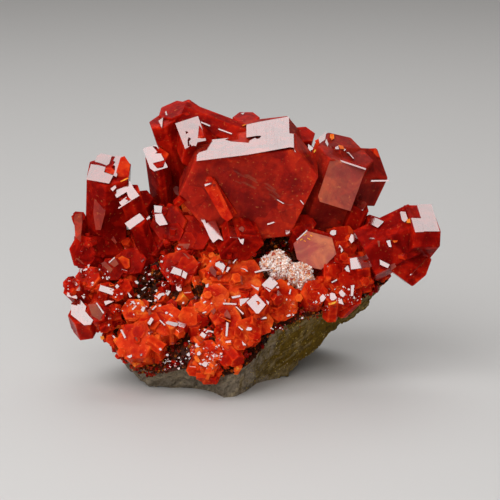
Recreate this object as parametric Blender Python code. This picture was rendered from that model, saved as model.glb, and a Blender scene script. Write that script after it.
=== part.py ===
"""Vanadinite crystal cluster on its matrix rock.

The frame: +X right, +Z up, the crystal-covered slope faces -Y. The rock rests on z = 0.
Everything is worked out in millimetres, and each finished piece is then turned into metres.
"""
import math
import random
from collections import namedtuple

import bmesh
import bpy
from mathutils import Vector, noise

MM = 0.001
GAP = 0.3                   # between pieces that touch

# The rock
ROCK_STEP = 1.9             # between its sections along X
ROCK_ROUGHNESS = 1.1        # height of its broken surface's big lumps
ROCK_LUMP = 0.16            # big lumps for each millimetre
ROCK_FINE = 0.5             # the fine lumps' height, as a share of the big ones'
ROCK_FINER = 3.0            # how many times closer together the fine lumps are
ROCK_FLAT = 0.01            # a point of the underside is no higher than this
ROCK_LIFT = 0.2             # the lowest that any other point comes
FACE_STEPS = 2              # points up the broken front face
SLOPE_STEPS = 9             # points up the crystal-covered slope
BACK_STEPS = 5              # points down the back
BASE_STEPS = 4              # points along the flat underside
BACK_BULGE = 1.2            # how far the back stands out
SLOPE_BULGE = -0.8          # how far the slope stands out between its foot and its crest

# The druse crust on the slope
CRUST_MIN = 0.7             # thickness between its rim and its lumps
CRUST_MAX = 1.6
CRUST_RIM = 0.6
CRUST_LUMP = 0.33           # lumps for each millimetre
CRUST_ROOT = 0.24           # how far above the gap its own small crystals start
DRUSE_TRIES = 150           # places tried for the small crystals
DRUSE_SPACING = 2.4         # at least this far apart
DRUSE_HEIGHT = (0.8, 1.8)   # how far they stand out of the crust
DRUSE_HALF_WIDTH = (0.55, 1.1)
DRUSE_LENGTH = 3.2
DRUSE_ROOT = 0.4
DRUSE_LEAN = 0.6            # how far they lean from square to the slope
DRUSE_LIFT = (-0.3, 0.8)
DRUSE_SEED = 7

# The crumbly pale patch: the middles of its lumps
PATCH_PLACES = (
    (6.0, -3.2, 21.6), (7.5, -2.8, 22.6), (9.0, -3.5, 21.0), (10.8, -4.0, 19.9), (12.6, -4.4, 19.0),
    (14.2, -4.6, 17.1), (7.3, -3.6, 20.6), (12.2, -3.8, 20.1),
)
PATCH_RADIUS = (1.3, 1.8)
PATCH_ROUGHNESS = 0.35
PATCH_LUMP = 0.9
PATCH_DEPTH = 2.2           # how much deeper than wide its lumps are, down to the crust
PATCH_SEED = 3
SLOPE_OUTWARD = Vector((0.0, -0.7071, 0.7071))

# Looks
ROCK_COLOUR = (0.20, 0.18, 0.14)
DRUSE_COLOUR = (0.16, 0.05, 0.03)
PATCH_COLOUR = (0.75, 0.55, 0.42)
ROCK_FINISH = 0.85
DRUSE_FINISH = 0.4
PATCH_FINISH = 0.7
CRYSTAL_FINISH = 0.12

# One section across the rock: where it is along X, then (y, z) of the foot of its front face, of
# the brow where the slope starts, of the crest behind the crystals and of the foot of its back.
Section = namedtuple("Section", "x foot brow crest back")
SECTIONS = (
    Section(-25.0, (-3.0, 10.5), (-4.0, 12.5), (2.0, 18.5), (1.5, 14.0)),
    Section(-23.0, (-5.0, 8.2), (-6.5, 10.2), (3.5, 20.5), (4.5, 9.0)),
    Section(-20.5, (-7.0, 4.0), (-9.0, 7.2), (4.5, 22.5), (7.5, 4.0)),
    Section(-18.0, (-8.0, 1.3), (-10.5, 4.8), (6.0, 25.0), (10.0, 1.3)),
    Section(-13.0, (-8.5, 0.0), (-12.5, 4.2), (10.0, 31.5), (14.0, 0.0)),
    Section(-8.0, (-8.5, 0.0), (-14.0, 5.5), (13.5, 35.5), (17.0, 0.0)),
    Section(-4.5, (-10.0, 0.0), (-15.3, 5.0), (15.5, 38.0), (18.5, 0.0)),
    Section(-1.5, (-15.0, 0.0), (-16.5, 4.5), (16.5, 39.0), (19.5, 0.0)),
    Section(1.0, (-13.0, 0.0), (-15.0, 5.5), (16.5, 39.0), (20.0, 0.0)),
    Section(4.0, (-5.5, 0.0), (-11.0, 8.5), (16.5, 39.0), (20.5, 0.0)),
    Section(7.0, (-3.0, 0.0), (-8.0, 11.0), (16.5, 38.5), (20.5, 0.0)),
    Section(9.5, (-2.2, 0.0), (-7.0, 11.5), (16.3, 37.6), (20.5, 0.0)),
    Section(11.5, (-1.0, 2.6), (-6.0, 12.3), (16.0, 36.8), (20.3, 0.8)),
    Section(14.0, (0.0, 4.5), (-5.0, 12.8), (15.5, 35.0), (19.5, 2.0)),
    Section(18.0, (0.0, 8.0), (-4.0, 13.4), (13.5, 31.5), (17.5, 6.0)),
    Section(21.0, (0.0, 10.5), (-3.5, 14.2), (11.5, 28.0), (14.5, 9.5)),
    Section(25.0, (0.0, 14.6), (-2.0, 16.6), (7.5, 24.0), (9.5, 14.8)),
    Section(27.0, (0.5, 17.0), (-0.5, 18.2), (5.0, 21.0), (5.0, 17.6)),
)

# A crystal: a six-sided prism. `end` is the middle of its free end. Its long axis points from the
# root to that end, `azimuth` degrees round from -Y towards +X and `elevation` degrees up. `half` is
# the distance from its axis to a side face, and `sides` stretches that for each of the six faces,
# the first being the uppermost, which `roll` turns round the axis.
Crystal = namedtuple("Crystal", "end azimuth elevation roll half length sides")
EVEN = (1.0, 1.0, 1.0, 1.0, 1.0, 1.0)
DEEP = (1.5, 1.0, 1.0, 1.5, 1.0, 1.0)


def crystal(end, azimuth, elevation, roll, half, length, sides=EVEN):
    return Crystal(end, azimuth, elevation, roll, half, length, sides)


# The giant tabular crystal, the one it grew over, and all that is intergrown with them
MAIN_GROUP = (
    crystal((2.2, -3.0, 34.7), 0, -14, 7, 7.0, 6.8, (1.03, 1.55, 1.5, 1.4, 1.5, 1.7)),
    crystal((5.9, -0.1, 35.85), 0, -14, 7, 7.1, 11.6, (1.0, 1.05, 1.05, 0.9, 1.05, 1.05)),
    crystal((-4.5, -3.5, 37.0), -67, 57, 30, 1.05, 8),
    crystal((0.6, -5.6, 25.2), 14, -23, -8, 3.0, 8, (0.9, 0.5, 1.2, 1.0, 1.2, 1.5)),
    crystal((-6.0, 1.0, 40.5), 14, -20, 22, 3.3, 13, (1.1, 1.0, 1.0, 1.0, 1.0, 1.0)),
    crystal((-11.0, 8.0, 47.5), -40, 66, 0, 2.8, 20),
    crystal((-13.1, 6.0, 45.8), -40, 66, 20, 2.3, 19),
    crystal((1.5, 7.2, 42.1), 85, -20, 10, 2.5, 12),
    crystal((2.0, 11.0, 45.5), 0, 75, 0, 2.2, 11),
    crystal((12.4, 9.0, 42.8), 20, 60, 0, 2.0, 12),
    crystal((-14.0, 3.0, 40.0), -8, 60, 20, 1.9, 13, DEEP),
    crystal((-13.5, 0.5, 30.4), -10, 60, 0, 1.3, 6, DEEP),
    crystal((-12.0, -0.5, 28.4), -10, 20, 10, 3.0, 10),
    crystal((-7.4, -0.8, 26.8), 0, 20, 0, 3.1, 9),
)
HEXAGON_CRYSTAL = (
    crystal((14.5, -2.5, 24.0), 3, 12, -16, 3.5, 9),
    crystal((12.0, -0.5, 28.0), 5, 40, 0, 2.2, 8),
)
UPPER_RIGHT_GROUP = (
    crystal((19.6, 3.0, 41.1), 43, 65, 23, 4.8, 17, (1.0, 1.0, 0.9, 1.15, 0.85, 1.05)),
    crystal((23.6, 9.0, 34.8), 132, -10, -7, 5.2, 10),
    crystal((22.5, 1.0, 31.5), 40, 62, 0, 1.4, 7, DEEP),
)
FAR_RIGHT_GROUP = (
    crystal((35.1, -4.0, 27.5), 103, -3, 26, 4.5, 5, (0.8, 1.15, 0.9, 1.0, 1.0, 1.05)),
    crystal((33.0, -3.0, 27.9), 100, 24, 30, 4.5, 11),
    crystal((32.9, -3.0, 20.2), 110, -38, 0, 3.0, 9),
    crystal((25.0, -1.0, 24.5), 30, 30, 0, 2.8, 8),
    crystal((25.5, 0.0, 28.5), 30, 62, 20, 1.5, 7, DEEP),
)
LEFT_GROUP = (
    crystal((-22.4, 0.0, 37.9), 8, 66, 19, 4.0, 16, (1.0, 0.95, 1.05, 1.0, 0.9, 1.05)),
    crystal((-23.3, 1.6, 39.2), 8, 66, 19, 1.7, 14),
    crystal((-19.0, -2.0, 34.5), -30, 60, 10, 2.0, 16),
    crystal((-17.5, -3.0, 29.5), -25, 58, 20, 1.6, 14),
    crystal((-28.2, 1.0, 29.2), -20, 50, 0, 1.2, 8),
    crystal((-27.5, -2.0, 23.5), -40, 10, 0, 2.8, 8),
    crystal((-22.0, -3.0, 20.5), 10, 20, 0, 2.0, 7),
    crystal((-17.0, 3.0, 32.0), -10, 50, 10, 2.0, 10),
    crystal((-15.5, 0.0, 25.0), -20, 25, 0, 2.6, 7),
    crystal((-18.5, -1.0, 21.5), -20, 20, 15, 2.4, 6),
)
CENTRE_LEFT_CRYSTALS = (
    crystal((-10.0, -4.0, 21.0), -10, 30, 10, 3.0, 7),
    crystal((-10.0, -5.5, 20.5), 10, 58, 25, 1.1, 4, DEEP),
    crystal((-9.0, -1.5, 24.0), 5, 50, 0, 1.6, 5),
)
FRONT_GROUP = (
    crystal((2.0, -5.0, 20.0), 5, 25, 0, 2.8, 7),
    crystal((8.0, -7.5, 16.0), 15, 20, 20, 3.4, 8),
    crystal((6.5, -8.5, 19.0), 20, 62, 15, 1.2, 4),
    crystal((4.0, -10.5, 16.0), -15, 50, 10, 1.8, 6),
    crystal((1.5, -10.5, 16.5), -30, 62, 0, 0.9, 4),
    crystal((-1.5, -12.0, 14.0), -5, 35, 0, 2.4, 6),
    crystal((-3.5, -8.5, 17.0), -10, 40, 20, 2.4, 6),
    crystal((-2.5, -4.5, 21.0), -5, 40, 0, 2.5, 7),
    crystal((-2.5, -5.0, 22.0), 10, 60, 0, 1.1, 4, DEEP),
    crystal((5.0, -11.5, 13.0), 30, 20, 0, 2.0, 6),
    crystal((2.5, -13.5, 12.0), 25, 35, 10, 2.4, 6),
    crystal((0.0, -15.0, 11.0), 10, 40, 0, 2.2, 6),
    crystal((0.0, -6.5, 17.8), 0, 42, 15, 4.4, 7),
)
BOTTOM_GROUP = (
    crystal((-5.0, -15.5, 8.8), -5, 40, 10, 2.2, 5),
    crystal((-4.5, -17.0, 6.6), 5, 45, 0, 1.5, 4),
    crystal((-5.5, -12.8, 11.2), 10, 62, 20, 1.0, 4),
    crystal((-2.0, -15.0, 8.2), 10, 30, 0, 2.0, 5),
)
LOWER_MIDDLE_GROUP = (
    crystal((-17.5, -14.5, 10.5), -15, 30, 10, 3.2, 7),
    crystal((-12.0, -11.5, 13.5), 0, 45, 20, 3.0, 7),
    crystal((-8.0, -11.0, 14.0), 10, 35, 0, 1.8, 6),
    crystal((-18.0, -10.0, 15.0), -10, 40, 0, 2.0, 6),
    crystal((-15.0, -12.0, 13.5), -5, 50, 0, 1.8, 5),
    crystal((-11.0, -13.5, 13.5), 0, 62, 0, 1.0, 4, DEEP),
)
LOWER_LEFT_GROUP = (
    crystal((-27.3, -9.8, 14.2), -8, 45, 12, 2.0, 6),
    crystal((-24.5, -10.5, 14.5), -10, 30, 20, 1.7, 6),
    crystal((-29.0, -7.5, 18.5), -50, 45, 0, 1.7, 6),
    crystal((-22.5, -8.5, 18.5), 5, 62, 20, 1.5, 5),
    crystal((-22.5, -10.0, 16.0), 0, 62, 0, 1.1, 5),
    crystal((-26.0, -6.5, 20.0), -25, 35, 0, 2.0, 6),
    crystal((-20.0, -6.5, 18.0), -10, 50, 0, 1.6, 5),
    crystal((-25.0, -7.0, 16.0), -20, 35, 0, 3.2, 6),
)
RIGHT_EDGE_GROUP = (
    crystal((22.5, -5.5, 22.5), -8, 60, 20, 1.9, 6),
    crystal((21.0, -6.5, 17.0), 40, 30, 0, 2.0, 6),
    crystal((17.5, -7.5, 16.5), 10, 60, 0, 1.3, 5),
    crystal((14.2, -7.0, 17.5), 10, 40, 0, 2.2, 7),
    crystal((19.5, -2.5, 25.5), 20, 25, 0, 2.8, 7),
    crystal((19.0, -5.5, 19.5), 30, 30, 0, 2.8, 7),
    crystal((20.0, -4.2, 21.0), 15, 38, 20, 4.2, 7),
)

# Each group's node, its crystals and its colour, in the order in which they keep their ground:
# where two groups meet, the later one stops short of the earlier one.
GROUPS = (
    ("main_crystal_group", MAIN_GROUP, (0.42, 0.02, 0.012)),
    ("hexagon_crystal", HEXAGON_CRYSTAL, (0.50, 0.08, 0.05)),
    ("upper_right_crystal_group", UPPER_RIGHT_GROUP, (0.42, 0.03, 0.018)),
    ("far_right_crystal_group", FAR_RIGHT_GROUP, (0.50, 0.05, 0.015)),
    ("left_crystal_group", LEFT_GROUP, (0.42, 0.025, 0.014)),
    ("centre_left_crystals", CENTRE_LEFT_CRYSTALS, (0.52, 0.05, 0.02)),
    ("front_crystal_group", FRONT_GROUP, (0.60, 0.07, 0.02)),
    ("bottom_crystal_group", BOTTOM_GROUP, (0.62, 0.11, 0.03)),
    ("lower_middle_crystal_group", LOWER_MIDDLE_GROUP, (0.65, 0.10, 0.02)),
    ("lower_left_crystal_group", LOWER_LEFT_GROUP, (0.58, 0.08, 0.03)),
    ("right_edge_crystal_group", RIGHT_EDGE_GROUP, (0.58, 0.07, 0.02)),
)


def clear_scene():
    for item in list(bpy.data.objects):
        bpy.data.objects.remove(item, do_unlink=True)


def make_material(name, colour, roughness):
    material = bpy.data.materials.new(name)
    material.use_nodes = True
    shader = material.node_tree.nodes["Principled BSDF"]
    shader.inputs["Base Color"].default_value = (*colour, 1.0)
    shader.inputs["Roughness"].default_value = roughness
    shader.inputs["Metallic"].default_value = 0.0
    material.diffuse_color = (*colour, 1.0)
    return material


def make_object(name, corners, faces):
    mesh = bpy.data.meshes.new(name)
    mesh.from_pydata([Vector(corner) for corner in corners], [], faces)
    mesh.validate()
    item = bpy.data.objects.new(name, mesh)
    bpy.context.collection.objects.link(item)
    turn_outwards(item)
    return item


def turn_outwards(item):
    shape = bmesh.new()
    shape.from_mesh(item.data)
    bmesh.ops.recalc_face_normals(shape, faces=shape.faces)
    shape.to_mesh(item.data)
    shape.free()


def combine(item, other, operation):
    """Joins `other` to `item`, or cuts it away, for good. `other` stays as it is."""
    step = item.modifiers.new(operation, "BOOLEAN")
    step.operation = operation
    step.object = other
    step.solver = "EXACT"
    bpy.context.view_layer.update()
    evaluated = item.evaluated_get(bpy.context.evaluated_depsgraph_get())
    result = bpy.data.meshes.new_from_object(evaluated)
    item.modifiers.clear()
    before = item.data
    item.data = result
    bpy.data.meshes.remove(before)


def discard(item):
    bpy.data.objects.remove(item, do_unlink=True)


def finish(item, name, colour, roughness):
    """Names the piece, gives it its one material and turns its millimetres into metres."""
    item.name = name
    item.data.name = name
    item.data.materials.clear()
    item.data.materials.append(make_material(name, colour, roughness))
    for vert in item.data.vertices:
        vert.co *= MM


def keep_largest_body(item):
    """Removes what a cut left loose."""
    shape = bmesh.new()
    shape.from_mesh(item.data)
    left = set(shape.verts)
    bodies = []
    while left:
        waiting = [left.pop()]
        body = list(waiting)
        while waiting:
            for edge in waiting.pop().link_edges:
                for vert in edge.verts:
                    if vert in left:
                        left.remove(vert)
                        waiting.append(vert)
                        body.append(vert)
        bodies.append(body)
    bodies.sort(key=len)
    loose = [vert for body in bodies[:-1] for vert in body]
    bmesh.ops.delete(shape, geom=loose, context="VERTS")
    shape.to_mesh(item.data)
    shape.free()


# Crystals

def crystal_axes(spec):
    """The long axis, and the two directions across it that `roll` has turned."""
    azimuth = math.radians(spec.azimuth)
    elevation = math.radians(spec.elevation)
    roll = math.radians(spec.roll)
    along = Vector((math.sin(azimuth) * math.cos(elevation),
                    -math.cos(azimuth) * math.cos(elevation),
                    math.sin(elevation)))
    upward = Vector((-math.sin(azimuth) * math.sin(elevation),
                     math.cos(azimuth) * math.sin(elevation),
                     math.cos(elevation)))
    sideways = along.cross(upward)
    first = upward * math.cos(roll) + sideways * math.sin(roll)
    return along, first, along.cross(first)


def hexagon(distances):
    """The corners between six lines whose normals are 60 degrees apart, each at its own distance."""
    corners = []
    for side in range(6):
        here = distances[side]
        there = distances[(side + 1) % 6]
        angle = math.radians(60 * side)
        along_side = (there - here * 0.5) / math.sin(math.radians(60))
        corners.append((here * math.cos(angle) - along_side * math.sin(angle),
                        here * math.sin(angle) + along_side * math.cos(angle)))
    return corners


def make_prism(name, spec, grow=0.0):
    along, first, second = crystal_axes(spec)
    outline = hexagon([spec.half * side + grow for side in spec.sides])
    free_end = Vector(spec.end) + along * grow
    root = Vector(spec.end) - along * (spec.length + grow)
    corners = []
    for middle in (free_end, root):
        corners += [middle + first * a + second * b for a, b in outline]
    faces = [tuple(range(6)), tuple(range(11, 5, -1))]
    for side in range(6):
        after = (side + 1) % 6
        faces.append((side, side + 6, after + 6, after))
    return make_object(name, corners, faces)


def make_group(name, specs, grow=0.0):
    """The crystals of a group grown together into one solid."""
    whole = make_prism(name, specs[0], grow)
    for spec in specs[1:]:
        other = make_prism(name + "_part", spec, grow)
        combine(whole, other, "UNION")
        discard(other)
    return whole


# The rock

def between(low, high, share):
    return low + (high - low) * share


def section_at(x):
    for before, after in zip(SECTIONS, SECTIONS[1:]):
        if x <= after.x:
            break
    share = (x - before.x) / (after.x - before.x)
    points = []
    for start, end in zip(before[1:], after[1:]):
        points.append((between(start[0], end[0], share), between(start[1], end[1], share)))
    return points


def rough(point, frequency, seed):
    """Smooth, repeatable unevenness between -1 and 1."""
    return noise.noise(Vector(point) * frequency + Vector((seed, seed * 2.0, seed * 3.0)))


def rock_loop(x):
    """The points round one section, from the front foot up, over and back under the rock."""
    foot, brow, crest, back = section_at(x)
    loop = []
    runs = ((foot, brow, FACE_STEPS, 0.0), (brow, crest, SLOPE_STEPS, SLOPE_BULGE),
            (crest, back, BACK_STEPS, BACK_BULGE), (back, foot, BASE_STEPS, 0.0))
    for start, end, steps, bulge in runs:
        way = Vector((end[0] - start[0], end[1] - start[1]))
        outward = Vector((-way.y, way.x)).normalized()
        for step in range(steps):
            share = step / steps
            lift = bulge * math.sin(math.pi * share)
            loop.append(Vector((x,
                                between(start[0], end[0], share) + outward.x * lift,
                                between(start[1], end[1], share) + outward.y * lift)))
    return loop


def rock_grid():
    """Rows of points round the rock, roughened, and their outward directions."""
    first = SECTIONS[0].x
    count = round((SECTIONS[-1].x - first) / ROCK_STEP)
    places = [first + (SECTIONS[-1].x - first) * row / count for row in range(count + 1)]
    rows = [rock_loop(x) for x in places]
    around = len(rows[0])
    base_start = FACE_STEPS + SLOPE_STEPS + BACK_STEPS
    normals = grid_normals(rows)
    for row in range(len(rows)):
        for column in range(around):
            point = rows[row][column]
            is_flat = point.z < ROCK_FLAT
            on_base = column == 0 or column >= base_start
            if on_base and is_flat:
                continue
            lift = ROCK_ROUGHNESS * rough(point, ROCK_LUMP, 1.0)
            lift += ROCK_ROUGHNESS * ROCK_FINE * rough(point, ROCK_LUMP * ROCK_FINER, 2.0)
            moved = point + normals[row][column] * lift
            moved.z = max(moved.z, 0.0 if is_flat else ROCK_LIFT)
            rows[row][column] = moved
    return rows, grid_normals(rows)


def run_at(before, here, after):
    """The direction in which a row of points runs, the two sides of a corner weighing the same."""
    return (here - before).normalized() + (after - here).normalized()


def grid_normals(rows):
    around = len(rows[0])
    normals = []
    for row in range(len(rows)):
        line = []
        for column in range(around):
            here = rows[row][column]
            along = run_at(rows[max(row - 1, 0)][column], here, rows[min(row + 1, len(rows) - 1)][column])
            across = run_at(rows[row][column - 1], here, rows[row][(column + 1) % around])
            line.append(along.cross(across).normalized())
        normals.append(line)
    return normals


def split_quad(a, b, c, d):
    """Two triangles, always along the same diagonal, so that layers stay parallel."""
    return [(a, b, c), (a, c, d)]


def loft(name, rows):
    """A closed solid from rows of points that each go right round it."""
    around = len(rows[0])
    corners = [point for line in rows for point in line]
    faces = [tuple(range(around)), tuple(range(len(corners) - 1, len(corners) - around - 1, -1))]
    for row in range(len(rows) - 1):
        for column in range(around):
            after = (column + 1) % around
            low = row * around
            faces += split_quad(low + column, low + around + column, low + around + after, low + after)
    return make_object(name, corners, faces)


def crust_columns():
    """The points round the rock that the crust covers: from the brow to just behind the crest."""
    return range(FACE_STEPS, FACE_STEPS + SLOPE_STEPS + 2)


def crust_thickness(point, row, column, row_count):
    """Thick in the middle, thin at the rim."""
    columns = crust_columns()
    from_rim = min(row, row_count - 1 - row, column - columns[0], columns[-1] - column)
    if from_rim == 0:
        return CRUST_RIM
    lump = 0.5 + 0.5 * rough(point, CRUST_LUMP, 5.0)
    return between(CRUST_MIN, CRUST_MAX, min(1.0, max(0.0, lump)))


def make_rock():
    rows, _ = rock_grid()
    return loft("matrix_rock", rows)


def make_crust():
    """A shell over the slope, with the gap to the rock under it."""
    rows, normals = rock_grid()
    columns = crust_columns()
    wide = len(columns)
    corners = []
    for layer in (0, 1):
        for row, line in enumerate(rows):
            for column in columns:
                point = line[column]
                rise = GAP
                if layer:
                    rise += crust_thickness(point, row, column, len(rows))
                corners.append(point + normals[row][column] * rise)
    top = len(rows) * wide
    faces = []
    for row in range(len(rows) - 1):
        for column in range(wide - 1):
            here = row * wide + column
            for triangle in split_quad(here, here + wide, here + wide + 1, here + 1):
                faces.append(triangle)
                faces.append(tuple(top + corner for corner in reversed(triangle)))
    rim = list(range(wide))
    rim += [row * wide + wide - 1 for row in range(1, len(rows))]
    rim += [(len(rows) - 1) * wide + column for column in range(wide - 2, -1, -1)]
    rim += [row * wide for row in range(len(rows) - 2, 0, -1)]
    for here, after in zip(rim, rim[1:] + rim[:1]):
        faces.append((here, after, top + after, top + here))
    return make_object("druse_crust", corners, faces)


def make_bed():
    """The rock grown a little way up into the crust: what the crust's own small crystals stop at."""
    rows, normals = rock_grid()
    for row, line in enumerate(rows):
        for column, point in enumerate(line):
            line[column] = point + normals[row][column] * (GAP + CRUST_ROOT)
    return loft("bed", rows)


def make_ground():
    """The rock and its crust with the gap added: what the crystal groups stop short of."""
    rows, normals = rock_grid()
    columns = crust_columns()
    for row, line in enumerate(rows):
        for column, point in enumerate(line):
            rise = GAP
            if column in columns:
                rise += GAP + crust_thickness(point, row, column, len(rows))
            line[column] = point + normals[row][column] * rise
    for line, way in ((rows[0], -1.0), (rows[-1], 1.0)):
        for point in line:
            point.x += way * 2.0 * GAP
    return loft("ground", rows)


def druse_specs():
    """Small crystals that stand on the crust, between the groups."""
    chance = random.Random(DRUSE_SEED)
    rows, normals = rock_grid()
    columns = crust_columns()
    specs = []
    for _ in range(DRUSE_TRIES):
        row = chance.randrange(2, len(rows) - 2)
        column = chance.randrange(columns[0] + 1, columns[-4])
        point = rows[row][column]
        out = normals[row][column]
        height = crust_thickness(point, row, column, len(rows)) + chance.uniform(*DRUSE_HEIGHT)
        end = point + out * (GAP + height)
        if any((end - Vector(spec.end)).length < DRUSE_SPACING for spec in specs):
            continue
        lean = Vector((chance.uniform(-DRUSE_LEAN, DRUSE_LEAN), chance.uniform(-DRUSE_LEAN, DRUSE_LEAN),
                       chance.uniform(*DRUSE_LIFT)))
        tilt = (out + lean).normalized()
        azimuth = math.degrees(math.atan2(tilt.x, -tilt.y))
        elevation = math.degrees(math.asin(tilt.z))
        half = chance.uniform(*DRUSE_HALF_WIDTH)
        length = min(DRUSE_LENGTH, height + DRUSE_ROOT)
        specs.append(crystal(tuple(end), azimuth, elevation, chance.uniform(0, 60), half, length))
    return specs


# The pale patch

def make_patch(grow=0.0):
    """A crumbly lump: rough balls run together along the patch."""
    chance = random.Random(PATCH_SEED)
    whole = None
    for place in PATCH_PLACES:
        mesh = bpy.data.meshes.new("crust_patch")
        shape = bmesh.new()
        bmesh.ops.create_icosphere(shape, subdivisions=2, radius=chance.uniform(*PATCH_RADIUS) + grow)
        for vert in shape.verts:
            vert.co *= 1.0 + PATCH_ROUGHNESS * rough(vert.co + Vector(place), PATCH_LUMP, 4.0)
            vert.co += SLOPE_OUTWARD * (vert.co.dot(SLOPE_OUTWARD) - 1.0) * (PATCH_DEPTH - 1.0)
            vert.co += Vector(place)
        shape.to_mesh(mesh)
        shape.free()
        puff = bpy.data.objects.new("crust_patch", mesh)
        bpy.context.collection.objects.link(puff)
        if whole is None:
            whole = puff
        else:
            combine(whole, puff, "UNION")
            discard(puff)
    return whole


def main():
    clear_scene()
    ground = make_ground()
    taken = []
    for name, specs, colour in GROUPS:
        group = make_group(name, specs)
        combine(group, ground, "DIFFERENCE")
        for other in taken:
            combine(group, other, "DIFFERENCE")
        keep_largest_body(group)
        taken.append(make_group(name + "_room", specs, GAP))
        finish(group, name, colour, CRYSTAL_FINISH)

    patch = make_patch()
    combine(patch, ground, "DIFFERENCE")
    for other in taken:
        combine(patch, other, "DIFFERENCE")
    keep_largest_body(patch)
    finish(patch, "pale_crust_patch", PATCH_COLOUR, PATCH_FINISH)
    taken.append(make_patch(2.0 * GAP))

    crust = make_crust()
    bed = make_bed()
    for spec in druse_specs():
        small = make_prism("druse_part", spec)
        for other in [bed] + taken:
            combine(small, other, "DIFFERENCE")
        combine(crust, small, "UNION")
        discard(small)
    keep_largest_body(crust)
    finish(crust, "druse_crust", DRUSE_COLOUR, DRUSE_FINISH)
    finish(make_rock(), "matrix_rock", ROCK_COLOUR, ROCK_FINISH)

    for item in [ground, bed] + taken:
        discard(item)


main()
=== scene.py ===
"""Looks of the vanadinite crystal cluster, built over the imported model.

Lengths are in millimetres until a mesh is made. +X is right, +Z up, and the slope faces -Y.
"""
import math
import random
from collections import namedtuple

import bmesh
import bpy
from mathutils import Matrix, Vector, noise
from mathutils.bvhtree import BVHTree


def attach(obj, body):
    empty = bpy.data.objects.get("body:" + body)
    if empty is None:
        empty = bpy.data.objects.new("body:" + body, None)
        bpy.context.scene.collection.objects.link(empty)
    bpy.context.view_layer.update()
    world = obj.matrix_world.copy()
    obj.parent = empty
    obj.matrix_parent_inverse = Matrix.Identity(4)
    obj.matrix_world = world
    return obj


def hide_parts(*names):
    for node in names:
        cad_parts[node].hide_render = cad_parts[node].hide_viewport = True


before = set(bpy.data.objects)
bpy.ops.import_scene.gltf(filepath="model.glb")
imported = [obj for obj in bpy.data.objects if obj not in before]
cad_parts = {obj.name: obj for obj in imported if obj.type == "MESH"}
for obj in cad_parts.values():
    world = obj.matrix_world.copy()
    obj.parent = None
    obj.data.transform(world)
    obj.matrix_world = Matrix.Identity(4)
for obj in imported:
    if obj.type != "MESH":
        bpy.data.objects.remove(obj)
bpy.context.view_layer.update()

MM = 0.001

# The camera, and how its picture of 500 x 500 pixels lies over the model
CAMERA_ELEVATION = 14.0
CAMERA_DISTANCE = 450.0
CAMERA_TARGET = Vector((2.7, 0.0, 23.3))
CAMERA_LENS = 180.0
CAMERA_REACH = (10.0, 10000.0)      # the nearest and farthest that it shows
SENSOR = 36.0
PICTURE = 500

UP = Vector((0.0, 0.0, 1.0))
SLOPE_OUTWARD = Vector((0.0, -0.7071, 0.7071))
SIXTH_TURN = math.radians(60)
LEAST_AREA = 1e-9           # nothing stands on triangles with about this area or less

FLOOR_HALF = 1600.0
FLOOR_COLOUR = (0.60, 0.59, 0.58)
FLOOR_ROUGHNESS = 0.6
WORLD_COLOUR = (1.0, 0.97, 0.94, 1.0)
WORLD_STRENGTH = 0.20

# The softboxes, aimed at one place. Bright faces mirror the back one to the camera, or the top one
# where another crystal hides the back one from them
Softbox = namedtuple("Softbox", "name azimuth elevation distance width height power")
SOFTBOX_TARGET = Vector((0.0, 0.0, 25.0))
BACK_SOFTBOX = Softbox("back_softbox", 180.0, 60.0, 450.0, 360.0, 360.0, 0.75)
TOP_SOFTBOX = Softbox("top_softbox", 0.0, 72.0, 500.0, 160.0, 160.0, 0.20)
FRONT_SOFTBOX = Softbox("front_softbox", -10.0, 25.0, 600.0, 600.0, 500.0, 2.0)
LEFT_SOFTBOX = Softbox("left_softbox", -50.0, 45.0, 600.0, 500.0, 500.0, 2.2)
MIRROR_MARGIN = 0.92        # the share of a softbox that counts as mirrored
MIRROR_LEAST = 0.5          # how nearly a mirrored ray goes the softbox's way, as a cosine
STRAY = 0.03                # how far a bright face strays from the way that mirrors best

# A face drawn from the picture stands a little out of what it lies on. It comes forward to clear what
# is before it, and its body reaches back to what is behind it, both within limits.
SLAB_LIFT = 0.06
SLAB_MOST_LIFT = 2.0
SLAB_LEAST_DEPTH = 0.2
SLAB_MOST_DEPTH = 1.2
SLAB_ROOT = 0.1             # how much deeper than that the body goes
SLAB_STEEP = 0.3            # a cosine: what looks away more than this gets a face turned to the camera
SLAB_BODY_LOOK = (0.5, 0.0, 0.0)
SAMPLES = (0.4, 0.8)        # how far out from its middle the place of a face is looked for
SAME_FACE = 0.99            # a cosine: places that look this nearly the same way are on one face
OFF_SURFACE = 0.3           # how far before a surface a ray from it starts
MARK_LIFT = 0.08            # a pit or fleck stands this much out of the face before it
MARK_DEPTH = 0.15

# The edges that are cut off a crystal and the rim of its faces, painted lighter as an edge
# highlight and glow, as shares of its half width and at most
CHAMFER = 0.05
MOST_CHAMFER = 0.16
GLOW_RIM = 0.30
MOST_GLOW_RIM = 2.0
MOST_OF_SIDE = 0.45         # how far in from its end a side is cut at most, as a share of it
FINE_CRYSTAL = 0.7          # small crystals up to this half width have no painted glow rims

# The seeds of the random draws. A group of crystals is seeded with its node's name.
FACES_SEED = 2
SPARKS_SEED = 3
PATCH_SEED = 5
CHIPS_SEED = 7              # for the noise of the rock's chips
GLINTS_SEED = 8
DRUSE_SEED = 11
BACK_SEED = 12

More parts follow.
